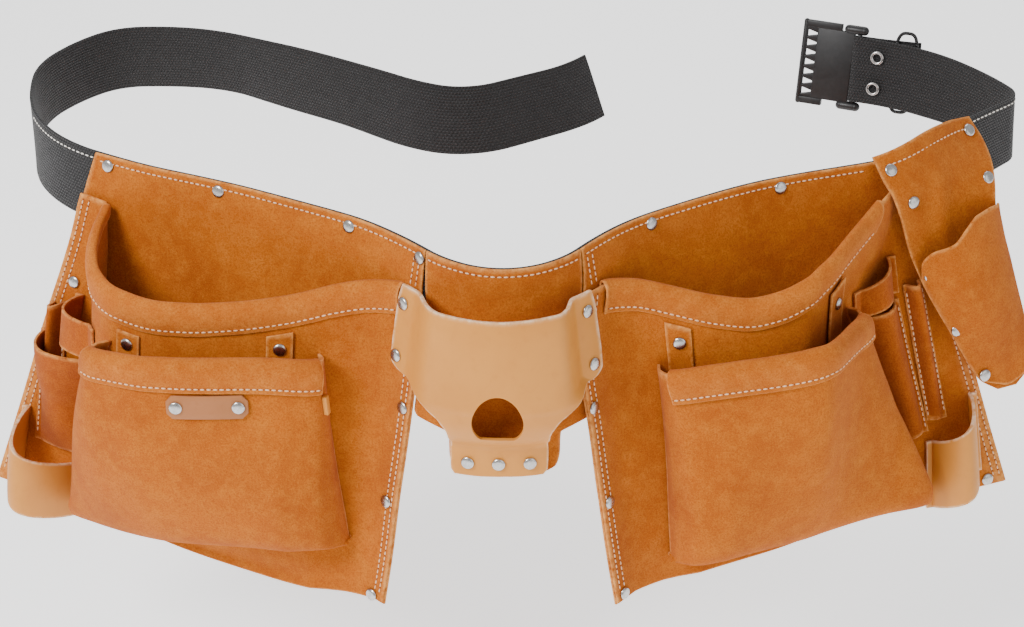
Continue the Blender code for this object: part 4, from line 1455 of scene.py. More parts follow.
class Workshop:
    """Makes pieces, dresses them and ties them to the belt's solids."""

    def __init__(self) -> None:
        """Builds the finishes."""
        self.finishes: dict[Finish, bpy.types.Material] = {
            Finish.SUEDE: Suede().build(),
            Finish.RIM: Suede(
                "rim_suede", colour(184, 98, 28), colour(212, 136, 58), colour(156, 76, 16), relief=0.8
            ).build(),
            Finish.LINING: Suede(
                "side_suede", colour(168, 82, 18), colour(196, 112, 38), colour(136, 60, 10)
            ).build(),
            Finish.TAN: SmoothLeather().build(),
            Finish.PLATE: SmoothLeather(
                "plate_leather", colour(164, 104, 62), colour(142, 86, 48), colour(200, 150, 106)
            ).build(),
            Finish.WEBBING: Webbing().build(),
            Finish.PLASTIC: Hard(
                "black_plastic", colour(24, 23, 24), colour(34, 33, 34), 0.0, 0.32, 0.55
            ).build(),
            Finish.NICKEL: Hard(
                "nickel", colour(198, 196, 194), colour(172, 168, 164), 1.0, 0.16, 0.34
            ).build(),
            Finish.THREAD: Hard(
                "thread", colour(240, 200, 160), colour(222, 172, 124), 0.0, 0.6, 0.8, 0.3
            ).build(),
            Finish.WHITE_THREAD: Hard(
                "white_thread", colour(244, 240, 232), colour(226, 220, 208), 0.0, 0.6, 0.8, 0.3
            ).build(),
            # Dark brown for the needle holes: painted shade, since the holes themselves are not cut into
            # the leather.
            Finish.NEEDLE_HOLE_SHADE: Hard(
                "needle_hole_shade", colour(138, 66, 20), colour(112, 52, 16), 0.0, 0.8, 0.95
            ).build(),
        }

    def keep(self, name: str, shape: bmesh.types.BMesh, finish: Finish, nodes: Sequence[str]) -> Any:
        """Turns a bmesh into a piece of the belt.

        Args:
            name: The piece's name.
            shape: The bmesh, which is freed.
            finish: What covers it.
            nodes: The solids that it stands for.

        Returns:
            The new object.
        """
        mesh = bpy.data.meshes.new(name)
        shape.to_mesh(mesh)
        shape.free()
        mesh.shade_smooth()
        mesh.materials.append(self.finishes[finish])
        made = bpy.data.objects.new(name, mesh)
        bpy.context.scene.collection.objects.link(made)
        self.tie(made, finish, nodes)
        return made

    def tie(self, made: Any, finish: Finish, nodes: Sequence[str]) -> None:
        """Makes a piece ride on the belt and stand for its solids.

        Args:
            made: The piece.
            finish: What covers it.
            nodes: The solids that it stands for.
        """
        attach(made, "root")
        if nodes:
            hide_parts(*nodes)
        LOG.info("piece %s stands for %s", made.name, ", ".join(nodes) or "no solid of its own")

    def sheet(
        self,
        name: str,
        skin: Skin,
        size: tuple[int, int],
        thickness: float,
        finish: Finish,
        nodes: Sequence[str],
        bevel: float = 0.5 * MM,
        cutter: Any = None,
    ) -> Any:
        """Makes a wall of leather: a fine grid on a surface, thickened outwards.

        Args:
            name: The piece's name.
            skin: The surface of its back face.
            size: The grid's columns and rows.
            thickness: The leather's thickness.
            finish: What covers it.
            nodes: The solids that it stands for.
            bevel: How far its cut edges are rounded.
            cutter: An object to cut out of it, which is removed afterwards.

        Returns:
            The new object.
        """
        columns, rows = size
        shape = bmesh.new()
        bmesh.ops.create_grid(shape, x_segments=columns, y_segments=rows, size=0.5)
        width = sum(
            (skin.place((k + 1) / 12, 0.5) - skin.place(k / 12, 0.5)).length for k in range(12)
        )
        height = sum(
            (skin.place(0.5, (k + 1) / 12) - skin.place(0.5, k / 12)).length for k in range(12)
        )
        near, flat = [], []
        for vertex in shape.verts:
            u, v = vertex.co.x + 0.5, vertex.co.y + 0.5
            gap = min(min(u, 1 - u) * width, min(v, 1 - v) * height)
            near.append(max(1 - gap / EDGE_REACH, 0.0))
            flat.append((u * width, v * height))
            vertex.co = warped(skin.place(u, v))
        if skin.outward < 0:
            bmesh.ops.reverse_faces(shape, faces=shape.faces)
        made = self.keep(name, shape, finish, nodes)
        mesh = made.data
        mesh.attributes.new("edge", "FLOAT", "POINT").data.foreach_set("value", near)
        layer = mesh.uv_layers.new(name="flat")
        for loop in mesh.loops:
            layer.data[loop.index].uv = flat[loop.vertex_index]
        shell = made.modifiers.new("thickness", "SOLIDIFY")
        shell.thickness = thickness
        shell.offset = 1
        shell.use_even_offset = True
        if cutter is not None:
            cut = made.modifiers.new("hole", "BOOLEAN")
            cut.operation = "DIFFERENCE"
            cut.object = cutter
        if bevel:
            edges = made.modifiers.new("edges", "BEVEL")
            edges.width = bevel
            edges.segments = 2
            edges.limit_method = "ANGLE"
            edges.angle_limit = math.radians(EDGE_ANGLE)
        self.settle(made)
        if cutter is not None:
            bpy.data.objects.remove(cutter)
        return made

    @staticmethod
    def settle(made: Any) -> None:
        """Applies a piece's modifiers and shades it smooth up to its real corners.

        Args:
            made: The piece.
        """
        graph = bpy.context.evaluated_depsgraph_get()
        mesh = bpy.data.meshes.new_from_object(made.evaluated_get(graph))
        made.modifiers.clear()
        made.data = mesh
        mesh.shade_smooth()
        mesh.set_sharp_from_angle(angle=math.radians(SHARP_ANGLE))

    def stitches(
        self,
        name: str,
        rows: Sequence[Sequence[tuple[Vector, Vector]]],
        finish: Finish = Finish.THREAD,
    ) -> None:
        """Sews rows of thread, each stitch between two needle holes; brown thread gets a dark disc of
        painted shade at each hole.

        Args:
            name: The name of the rows together.
            rows: Each row's places on the leather's face and the face's normals there.
            finish: The thread's finish.
        """
        thread, holes = bmesh.new(), bmesh.new()
        for row in rows:
            for first, second, normal in self.spaced(row):
                along = (second - first).normalized()
                side = normal.cross(along).normalized()
                turn = Matrix((along, side, along.cross(side))).transposed().to_4x4()
                middle = (first + second) / 2 + normal * 0.15 * MM
                scale = Matrix.Diagonal((STITCH_LENGTH / 2, STITCH_RADIUS * 1.3, STITCH_RADIUS, 1))
                place = Matrix.Translation(middle) @ turn
                bmesh.ops.create_uvsphere(
                    thread, u_segments=6, v_segments=5, radius=1, matrix=place @ scale
                )
                # A flat dark disc at each needle hole: painted shade of the hole, not a cut.
                scale = Matrix.Diagonal((0.62 * MM, 0.62 * MM, 0.2 * MM, 1))
                place = Matrix.Translation(first) @ turn
                bmesh.ops.create_uvsphere(
                    holes, u_segments=6, v_segments=4, radius=1, matrix=place @ scale
                )
        self.keep(f"{name}_thread", thread, finish, ())
        if finish is Finish.THREAD:
            self.keep(f"{name}_needle_hole_shades", holes, Finish.NEEDLE_HOLE_SHADE, ())
        else:
            holes.free()

    @staticmethod
    def spaced(row: Sequence[tuple[Vector, Vector]]) -> list[tuple[Vector, Vector, Vector]]:
        """Walks a row at the stitch pitch and gives each stitch's ends and normal.

        Args:
            row: The row's places and normals.

        Returns:
            Each stitch's two ends and its normal.
        """
        places = [warped(place) for place, _ in row]
        found, last, travelled = [], places[0], 0.0
        for k in range(1, len(places)):
            step = (places[k] - places[k - 1]).length
            while travelled + step >= STITCH_PITCH and step > 0:
                share = (STITCH_PITCH - travelled) / step
                here = places[k - 1].lerp(places[k], share)
                found.append((last, here, row[k][1]))
                places[k - 1], step = here, (places[k] - here).length
                last, travelled = here, 0.0
            travelled += step
        return found

    def caps(self, name: str, seats: Sequence[tuple[Vector, Vector]], nodes: Sequence[str]) -> None:
        """Makes rivet caps: a low dome with a rounded edge.

        Args:
            name: The name of the caps together.
            seats: Each cap's foot and the direction that it faces.
            nodes: The solids that they stand for.
        """
        profile = (
            (0.0, 1.75),
            (1.5, 1.7),
            (2.8, 1.55),
            (3.7, 1.3),
            (4.3, 0.9),
            (4.6, 0.4),
            (4.6, 0.1),
            (4.3, -0.9),
        )
        shape = bmesh.new()
        for seat, normal in seats:
            turned = Matrix.Translation(seat) @ facing(normal)
            self.lathe(shape, profile, turned)
        self.keep(name, shape, Finish.NICKEL, nodes)

    @staticmethod
    def lathe(shape: bmesh.types.BMesh, profile: Sequence[tuple[float, float]], place: Matrix) -> None:
        """Turns a profile of radius and height in millimetres about its own axis.

        Args:
            shape: The bmesh that takes the result.
            profile: Radius and height in millimetres, from the middle outwards.
            place: The axis's place and direction.
        """
        verts = [shape.verts.new(place @ Vector((r * MM, 0, z * MM))) for r, z in profile]
        edges = [shape.edges.new(pair) for pair in zip(verts, verts[1:])]
        axis = (place.to_3x3() @ Vector((0, 0, 1))).normalized()
        bmesh.ops.spin(
            shape,
            geom=verts + edges,
            cent=place.translation,
            axis=axis,
            angle=math.tau,
            steps=LATHE_STEPS,
            use_merge=True,
        )
        bmesh.ops.recalc_face_normals(shape, faces=shape.faces)


def facing(normal: Vector) -> Matrix:
    """A rotation whose Z is the normal and whose Y is as near upward as it can be.

    Args:
        normal: The direction that Z takes.

    Returns:
        The rotation.
    """
    z = normal.normalized()
    x = Vector((0, 0, 1)).cross(z).normalized()
    return Matrix((x, z.cross(x), z)).transposed().to_4x4()


def cap_seat(node: Any) -> tuple[Vector, Vector]:
    """The foot and direction of a solid rivet cap, read from its own faces.

    Args:
        node: The solid.

    Returns:
        The middle of its wide end and the direction from there to its narrow end.
    """
    flats = sorted(node.data.polygons, key=lambda face: -face.area)
    areas: dict[tuple[float, float, float], float] = {}
    for face in flats:
        key = tuple(round(v, 2) for v in face.normal)
        areas[key] = areas.get(key, 0.0) + face.area
    ends = sorted(areas, key=lambda key: -areas[key])[:2]
    wide = Vector(ends[0])
    points = [node.matrix_world @ vertex.co for vertex in node.data.vertices]
    middle = sum(points, Vector()) / len(points)
    low = max((point - middle).dot(wide) for point in points)
    return middle + wide * low, -wide


@dataclass
class StrapPiece:
    """The webbing, its folded end and the white lines sewn on it."""

    shop: Workshop

    @staticmethod
    def end_frame() -> tuple[Vector, Vector, Vector, Vector]:
        """The middle of the strap's right end and its axes: along, up and outwards.

        Returns:
            The middle, and the directions along the strap, up and outwards.
        """
        line = LINES[1]
        drape = Drape(line, 0.0, line.length)
        run, middle = line.length, WEBBING_WIDTH / 2
        here = drape.point(run, middle, 0)
        up = (drape.point(run, 0, 0) - here).normalized()
        out = (drape.point(run, middle, MM) - here).normalized()
        return here, up.cross(out).normalized(), up, out

    def build(self) -> None:
        """Makes the strap as one woven sheet."""
        left, right = -LINES[-1].length, LINES[1].length
        bend = math.pi * FOLD_RADIUS
        total = right + bend + STRAP_FOLD - left
        here, along, up, out = self.end_frame()

        def place(u: float, v: float) -> Vector:
            """A place on the strap, from its left end round the fold at its right.

            Args:
                u: The share of its length.
                v: The share of its width.

            Returns:
                The place.
            """
            run = left + total * u
            if run <= right:
                return ribbon_point(run, WEBBING_WIDTH * v, 0.0)
            angle = min((run - right) / FOLD_RADIUS, math.pi)
            back = max(run - right - bend, 0.0)
            forward = FOLD_RADIUS * math.sin(angle) - back
            away = FOLD_RADIUS * (1 - math.cos(angle))
            return here + along * forward + out * away + up * (WEBBING_WIDTH * (0.5 - v))

        made = self.shop.sheet(
            "webbing_strap",
            Skin(place, -1),
            (620, 8),
            WEBBING_THICKNESS,
            Finish.WEBBING,
            ("webbing",),
            0.5 * MM,
        )

    def sew(self) -> None:
        """Sews the white lines just under the strap's top edge, beside each bag."""
        start = CENTRE_HALF + BAG_TOP
        rows = []
        left_line = (-1, start - 2 * MM, start + 86 * MM, 5)
        right_line = (1, start + 60 * MM, start + 128 * MM, 4)
        for side, first, last, down in (left_line, right_line):
            row = []
            for k in range(60):
                run = side * mix(first, last, k / 59)
                place = ribbon_point(run, down * MM, WEBBING_THICKNESS)
                above = ribbon_point(run, down * MM, WEBBING_THICKNESS + MM)
                row.append((place, (above - place).normalized()))
            rows.append(row)
        self.shop.stitches("webbing_line", rows, Finish.WHITE_THREAD)


@dataclass
class CentrePiece:
    """The panel between the bags and the smooth leather tape holder."""

    shop: Workshop
    half: float = CENTRE_HALF - CENTRE_SIDE_ROOM

    def build_panel(self) -> None:
        """Makes the suede panel with its short tab, and its top row of stitches."""
        rows = [row.down for row in CENTRE_OUTLINE]

        def place(u: float, v: float) -> Vector:
            """A place on the centre panel.

            Args:
                u: The share across.
                v: The share of the rows.

            Returns:
                The place.
            """
            share = at_station(rows, v)
            reach = self.half * smooth(CENTRE_OUTLINE, "half", share)
            down = CENTRE_HEIGHT * share
            out = PANEL_LIFT * (1 - ease((down - WEBBING_WIDTH) / (10 * MM)))
            return ribbon_point(mix(-reach, reach, u), down, out)

        self.shop.sheet(
            "centre_panel_suede",
            Skin(place, -1),
            (44, 77),
            SUEDE_THICKNESS,
            Finish.SUEDE,
            ("centre_panel",),
        )
        row = []
        for k in range(60):
            run = mix(-53 * MM, 53 * MM, k / 59)
            out = PANEL_LIFT + SUEDE_THICKNESS
            here = ribbon_point(run, TOP_SEAM_DOWN, out)
            row.append((here, (ribbon_point(run, TOP_SEAM_DOWN, out + MM) - here).normalized()))
        self.shop.stitches("centre_top", [row])

    @staticmethod
    def holder_point(u: float, share: float) -> Vector:
        """A place on the tape holder's back face.

        Args:
            u: The share across.
            share: The share of its height.

        Returns:
            The place.
        """
        lug = HOLDER_LEFT_HALF if u < 0.5 else HOLDER_RIGHT_HALF
        half = mix(lug, HOLDER_TAB_HALF, ease((share - 0.44) / 0.1))
        run = (2 * u - 1) * half * smooth(HOLDER_ROWS, "half", share)
        slope_width = half - HOLDER_LUG - HOLDER_FRONT_HALF
        rise = 1 - ease((abs(run) - HOLDER_FRONT_HALF) / slope_width)
        seat = HOLDER_SEAT * smooth(HOLDER_ROWS, "seat", share)
        out = seat + (HOLDER_DEPTH - HOLDER_SEAT) * rise * smooth(HOLDER_ROWS, "out", share)
        return ribbon_point(HOLDER_SHIFT + run, HOLDER_TOP + HOLDER_HEIGHT * share, out)

    def build_holder(self) -> None:
        """Makes the tape holder and cuts its D shaped hole."""
        downs = [row.down for row in HOLDER_ROWS]

        def place(u: float, v: float) -> Vector:
            """A place on the tape holder at a share of its rows."""
            return self.holder_point(u, at_station(downs, v))

        hole = bmesh.new()
        bmesh.ops.create_cone(
            hole, cap_ends=True, segments=64, radius1=HOLE_RADIUS, radius2=HOLE_RADIUS, depth=40 * MM
        )
        for vertex in hole.verts:
            vertex.co.y = max(vertex.co.y * HOLE_STRETCH, -HOLE_FLAT)
        mesh = bpy.data.meshes.new("hole_shape")
        hole.to_mesh(mesh)
        hole.free()
        tool = bpy.data.objects.new("hole_shape", mesh)
        bpy.context.scene.collection.objects.link(tool)
        centre = self.holder_point(0.5, (HOLE_DOWN - HOLDER_TOP) / HOLDER_HEIGHT)
        tool.matrix_world = Matrix.Translation(centre) @ facing(Vector((0, -1, -0.1)))
        bpy.context.view_layer.update()
        self.shop.sheet(
            "tape_holder_leather",
            Skin(place, -1),
            (96, 104),
            TAN_THICKNESS,
            Finish.TAN,
            ("tape_holder",),
            0.4 * MM,
            tool,
        )


@dataclass
class BagPiece:
    """One bag with its pouches, bound rims, side pockets, loops and stitch rows."""

    shop: Workshop
    hang: Hang

    def build(self) -> None:
        """Makes every piece of the bag."""
        bag = Bag(self.hang)
        name = bag.name
        shop = self.shop
        panel, _, _ = bag.panel()
        nodes = (f"{name}_back_panel",)
        shop.sheet(f"{name}_back_suede", panel, (90, 60), SUEDE_THICKNESS, Finish.SUEDE, nodes)
        wall, columns, rows = bag.main_wall()
        nodes = (f"{name}_main_pouch",)
        shop.sheet(f"{name}_main_suede", wall, (110, 56), SUEDE_THICKNESS, Finish.SUEDE, nodes)
        last = columns - self.hang.rim_stop
        ends = (1 / columns, last / columns)
        self.rim(bag, wall, rows, MAIN_RIM_WIDTH, MAIN_RIM_TUCK, ends, FOLD_ROOM, "main")
        front, columns, rows = bag.front_wall()
        nodes = (f"{name}_front_pouch",)
        shop.sheet(f"{name}_front_suede", front, (72, 42), SUEDE_THICKNESS, Finish.SUEDE, nodes)
        ends = (2 / columns, (columns - 2) / columns)
        self.rim(bag, front, rows, FRONT_RIM_WIDTH, FRONT_RIM_TUCK, ends, 3 * FOLD_ROOM, "front")
        for place, (inward, lift) in zip(("inner", "outer"), self.hang.tabs):
            skin = bag.tab(bag.tab_along(place, inward * MM), lift * MM)
            node = f"{name}_{place}_gusset_tab"
            shop.sheet(f"{node}_suede", skin, (8, 16), RIM_THICKNESS, Finish.SUEDE, (node,), 0.4 * MM)
        arches = (
            ("pencil_sleeve", self.hang.pencil_sleeve, 4 * MM, (44, 26), Finish.LINING),
            ("tool_pocket", self.hang.tool_pocket, 5 * MM, (52, 30), Finish.LINING),
            ("side_loop", self.hang.side_loop, 7 * MM, (48, 12), Finish.LINING),
        )
        for kind, shape, flap, size, finish in arches:
            skin = bag.arch(shape, flap)
            shop.sheet(f"{name}_{kind}_suede", skin, size, SUEDE_THICKNESS, finish, (f"{name}_{kind}",))
        skin = bag.arch(self.hang.hammer_loop, 6 * MM)
        nodes = (f"{name}_hammer_loop",)
        shop.sheet(f"{name}_hammer_loop_leather", skin, (64, 24), TAN_THICKNESS, Finish.TAN, nodes)
        self.sew(bag)

    def rim(
        self,
        bag: Bag,
        wall: Skin,
        rows: int,
        outer_leg: float,
        inner_leg: float,
        ends: tuple[float, float],
        room: float,
        kind: str,
    ) -> None:
        """Makes a puffed binding folded over a pouch's lip, with its row of stitches.

        Args:
            bag: The bag.
            wall: The pouch's wall.
            rows: The number of rows that the wall is cut in.
            outer_leg: The width of the leg outside.
            inner_leg: The width of the leg inside.
            ends: The shares around the wall where the binding starts and ends.
            room: The gap between binding and wall.
            kind: Which pouch, main or front.
        """
        proud = SUEDE_THICKNESS + room
        path = (
            (outer_leg, proud - 0.2 * MM),
            (outer_leg * 0.92, proud + 0.1 * MM),
            (outer_leg * 0.8, proud + 0.3 * MM),
            (outer_leg * 0.62, proud + 1.2 * MM),
            (outer_leg * 0.35, proud + 1.8 * MM),
            (outer_leg * 0.12, proud + 1.3 * MM),
            (-0.8 * MM, proud * 0.75),
            (-1.5 * MM, SUEDE_THICKNESS * 0.4),
            (-0.9 * MM, -0.7 * MM),
            (inner_leg * 0.3, -0.8 * MM),
            (inner_leg, -room),
        )
        steps = len(path) - 1

        def at(around: float, down: float, lift: float) -> Vector:
            """A place near the lip.

            Args:
                around: The share around the wall.
                down: The distance below the lip.
                lift: The distance off the wall.

            Returns:
                The place.
            """
            lip = wall.place(around, 0)
            hang = (wall.place(around, 1 / rows) - lip).normalized()
            return lip + hang * down + wall.normal(around, 0.5 / rows) * lift

        def place(u: float, v: float) -> Vector:
            """A place on the binding, on a smooth curve through its path.

            Args:
                u: The share around.
                v: The share from the inner leg to the outer.

            Returns:
                The place.
            """
            k = (1 - v) * steps
            i = min(int(k + 1e-6), steps - 1)
            t = k - i
            before, after = path[max(i - 1, 0)], path[min(i + 2, steps)]
            legs = []
            for c in range(2):
                a, b = path[i][c], path[i + 1][c]
                m0, m1 = (b - before[c]) / 2, (after[c] - a) / 2
                t2, t3 = t * t, t * t * t
                legs.append(
                    a * (2 * t3 - 3 * t2 + 1)
                    + m0 * (t3 - 2 * t2 + t)
                    + b * (3 * t2 - 2 * t3)
                    + m1 * (t3 - t2)
                )
            return at(mix(ends[0], ends[1], u), legs[0], legs[1])

        node = f"{bag.name}_{kind}_rim"
        self.shop.sheet(
            f"{node}_suede", Skin(place, bag.turn), (110, 30), RIM_THICKNESS, Finish.RIM, (node,), 0.4 * MM
        )
        row = []
        for k in range(90):
            around = mix(ends[0], ends[1], 0.01 + 0.98 * k / 89)
            normal = wall.normal(around, 0.5 / rows)
            row.append((at(around, outer_leg * 0.84, proud + 0.2 * MM) + normal * RIM_THICKNESS, normal))
        self.shop.stitches(f"{node}_seam", [row])

    def sew(self, bag: Bag) -> None:
        """Sews the rows along the bag's edges and its side pockets.

        Args:
            bag: The bag.
        """
        lift = PANEL_LIFT + SUEDE_THICKNESS
        reach = 236 if bag.hang.side > 0 else 268
        top = []
        for k in range(100):
            along = mix(3, reach, k / 99) * MM
            here = bag.point(along, TOP_SEAM_DOWN, lift)
            top.append((here, (bag.point(along, TOP_SEAM_DOWN, lift + MM) - here).normalized()))
        rows = [top]
        for inset in (4 * MM, 9 * MM):
            for inner in (True, False):
                row = []
                for k in range(90):
                    down = mix(34 * MM, bag.bottom(0.0 if inner else 1.0) - 7 * MM, k / 89)
                    edge = bag.inner_edge(down) + inset if inner else bag.outer_edge(down) - inset
                    row.append(bag.lay(edge, down, SUEDE_THICKNESS + 0.1 * MM))
                rows.append(row)
            row = []
            for k in range(16):
                here = bag.point(inset, mix(7, 30, k / 15) * MM, lift)
                away = bag.point(inset, 7 * MM, lift + MM) - bag.point(inset, 7 * MM, lift)
                row.append((here, away.normalized()))
            rows.append(row)
        self.shop.stitches(f"{bag.name}_edge", rows)
        rows = []
        for shape, flap in ((bag.hang.tool_pocket, 5 * MM), (bag.hang.pencil_sleeve, 4 * MM)):
            skin = bag.arch(shape, flap)
            for u in (0.05, 0.95):
                shares = [v / 40 for v in range(2, 40)]
                rows.append([(skin.lifted(u, v, SUEDE_THICKNESS), skin.normal(u, v)) for v in shares])
        self.shop.stitches(f"{bag.name}_pocket", rows)


@dataclass
class HolsterPiece:
    """The holster's hanger and its pocket."""

    shop: Workshop

    @staticmethod
    def point(share: float, down: float, lift: float) -> Vector:
        """A place on the hanger: share across, millimetres down and lift off its back.

        Args:
            share: The share across.
            down: The depth in millimetres.
            lift: The distance off its back.

        Returns:
            The place.
        """
        line = LINES[1]
        belt = Drape(line, 0.0, line.length)
        flat = Drape(line, CENTRE_HALF, CENTRE_HALF + BAG_TOP - 20 * MM)
        inner = smooth(HANGER_ROWS, "inner", down) * MM
        outer = smooth(HANGER_ROWS, "outer", down) * MM
        run = CENTRE_HALF + mix(inner, outer, share)
        rise = math.sin(math.pi * min(share * 1.3, 1.0)) * (1 - ease(down / 44))
        height = down - HANGER_CROWN * math.sin(math.pi * share) * (1 - ease((down + 5) / 15))
        out = smooth(HANGER_ROWS, "out", down) * MM + HANGER_RISE * rise + lift
        upper, lower = belt.point(run, height * MM, out), flat.point(run, height * MM, out)
        return upper.lerp(lower, ease(height / 42))

    def build(self) -> None:
        """Makes both pieces and sews them."""
        rows = [row.down for row in HANGER_ROWS]

        def back(u: float, v: float) -> Vector:
            """A place on the hanger with its soft fold."""
            fold = 1.6 * MM * math.exp(-(((u - 0.42) / 0.09) ** 2)) * math.sin(math.pi * min(v * 1.7, 1.0))
            return self.point(u, at_station(rows, v), fold)

        self.shop.sheet(
            "holster_hanger_suede",
            Skin(back, -1),
            (56, 72),
            SUEDE_THICKNESS,
            Finish.SUEDE,
            ("holster_hanger",),
        )
        seam = HANGER_ROWS[-1].down - 3

        def front(u: float, v: float) -> Vector:
            """A place on the holster's pocket.

            Args:
                u: The share across.
                v: The share down.

            Returns:
                The place.
            """
            top = smooth(HOLSTER_MOUTH, "down", u)
            low = seam - 14 * (1 - math.sin(math.pi * mix(0.15, 0.85, u)))
            bulge = HOLSTER_BULGE * math.sin(math.pi * u) ** 0.7 * (1 - 0.96 * ease(v) ** 2)
            return self.point(u, mix(top, low, v), ON_SUEDE + CLEARANCE + bulge)

        skin = Skin(front, -1)
        nodes = ("holster_pocket",)
        self.shop.sheet("holster_pocket_suede", skin, (64, 48), SUEDE_THICKNESS, Finish.SUEDE, nodes)
        seats = []
        for share, down in ((0.07, 84), (0.05, 128), (0.1, 170)):
            here = self.point(share, down, ON_SUEDE + CLEARANCE + SUEDE_THICKNESS + 2.2 * MM)
            normal = self.point(share, down, MM) - self.point(share, down, 0.0)
            seats.append((warped(here), normal.normalized()))
        self.shop.caps("holster_pocket_caps", seats, ())
        top = []
        for k in range(60):
            share = mix(0.06, 0.94, k / 59)
            place = self.point(share, 1.5, SUEDE_THICKNESS)
            top.append((place, (self.point(share, 1.5, SUEDE_THICKNESS + MM) - place).normalized()))
        self.shop.stitches("holster_top", [top])


@dataclass
class HardwarePiece:
    """Rivet caps, plate, side tab, buckle, keeper ring and eyelets."""

    shop: Workshop
    frame: dict

    def build_rivets(self) -> None:
        """Puts a detailed cap over each solid cap, and adds the ones along the top edges."""
        groups: dict[str, list[str]] = {}
        for name in sorted(self.frame["nodes"]):
            if "rivet" in name:
                groups.setdefault(name.split("_")[0], []).append(name)
        for key, names in groups.items():
            seats = [cap_seat(self.frame["nodes"][name]) for name in names]
            seats = [(warped(seat) - normal * 0.3 * MM, normal) for seat, normal in seats]
            self.shop.caps(f"{key}_rivet_caps", seats, names)
        for hang, places in ((LEFT_HANG, ((68, 7), (171, 7))), (RIGHT_HANG, ((66, 7), (170, 7)))):
            bag = Bag(hang)
            seats = []
            for along, down in places:
                lift = PANEL_LIFT + SUEDE_THICKNESS
                here = bag.point(along * MM, down * MM, lift)
                normal = (bag.point(along * MM, down * MM, lift + MM) - here).normalized()
                seats.append((warped(here), normal))
            self.shop.caps(f"{bag.name}_top_caps", seats, ())

    def dress_solid(self, node: str, piece: str, finish: Finish, levels: int = 2) -> None:
        """Copies a small solid, rounds it and gives it its finish.

        Args:
            node: The solid's name.
            piece: The new piece's name.
            finish: What covers it.
            levels: The segments of each rounded edge.
        """
        source = self.frame["nodes"][node]
        shape = bmesh.new()
        shape.from_mesh(source.data)
        bmesh.ops.remove_doubles(shape, verts=shape.verts, dist=1e-5)
        bmesh.ops.join_triangles(
            shape, faces=shape.faces, angle_face_threshold=0.2, angle_shape_threshold=3.1
        )
        made = self.shop.keep(piece, shape, finish, (node,))
        edges = made.modifiers.new("edges", "BEVEL")
        edges.width = SOLID_EDGE
        edges.segments = levels
        edges.limit_method = "ANGLE"
        edges.angle_limit = math.radians(EDGE_ANGLE)
        self.shop.settle(made)
        for vertex in made.data.vertices:
            vertex.co = warped(vertex.co)

    def build(self) -> None:
        """Makes the hardware."""
        self.build_rivets()
        self.dress_solid("name_plate", "bare_plate", Finish.PLATE)
        self.dress_solid("side_tab", "side_tab_leather", Finish.TAN)
        for node in ("upper_eyelet", "lower_eyelet"):
            source = self.frame["nodes"][node]
            shape = bmesh.new()
            shape.from_mesh(source.data)
            bmesh.ops.remove_doubles(shape, verts=shape.verts, dist=1e-5)
            bmesh.ops.join_triangles(
                shape, faces=shape.faces, angle_face_threshold=0.6, angle_shape_threshold=3.1
            )
            middle = sum((vertex.co for vertex in shape.verts), Vector()) / len(shape.verts)
            for vertex in shape.verts:
                vertex.co = middle.lerp(vertex.co, 1.4)
            made = self.shop.keep(f"{node}_wire", shape, Finish.NICKEL, (node,))
            made.modifiers.new("round", "SUBSURF").levels = 2
            self.shop.settle(made)
            for vertex in made.data.vertices:
                vertex.co = warped(vertex.co)
        BucklePiece(self.shop).build()


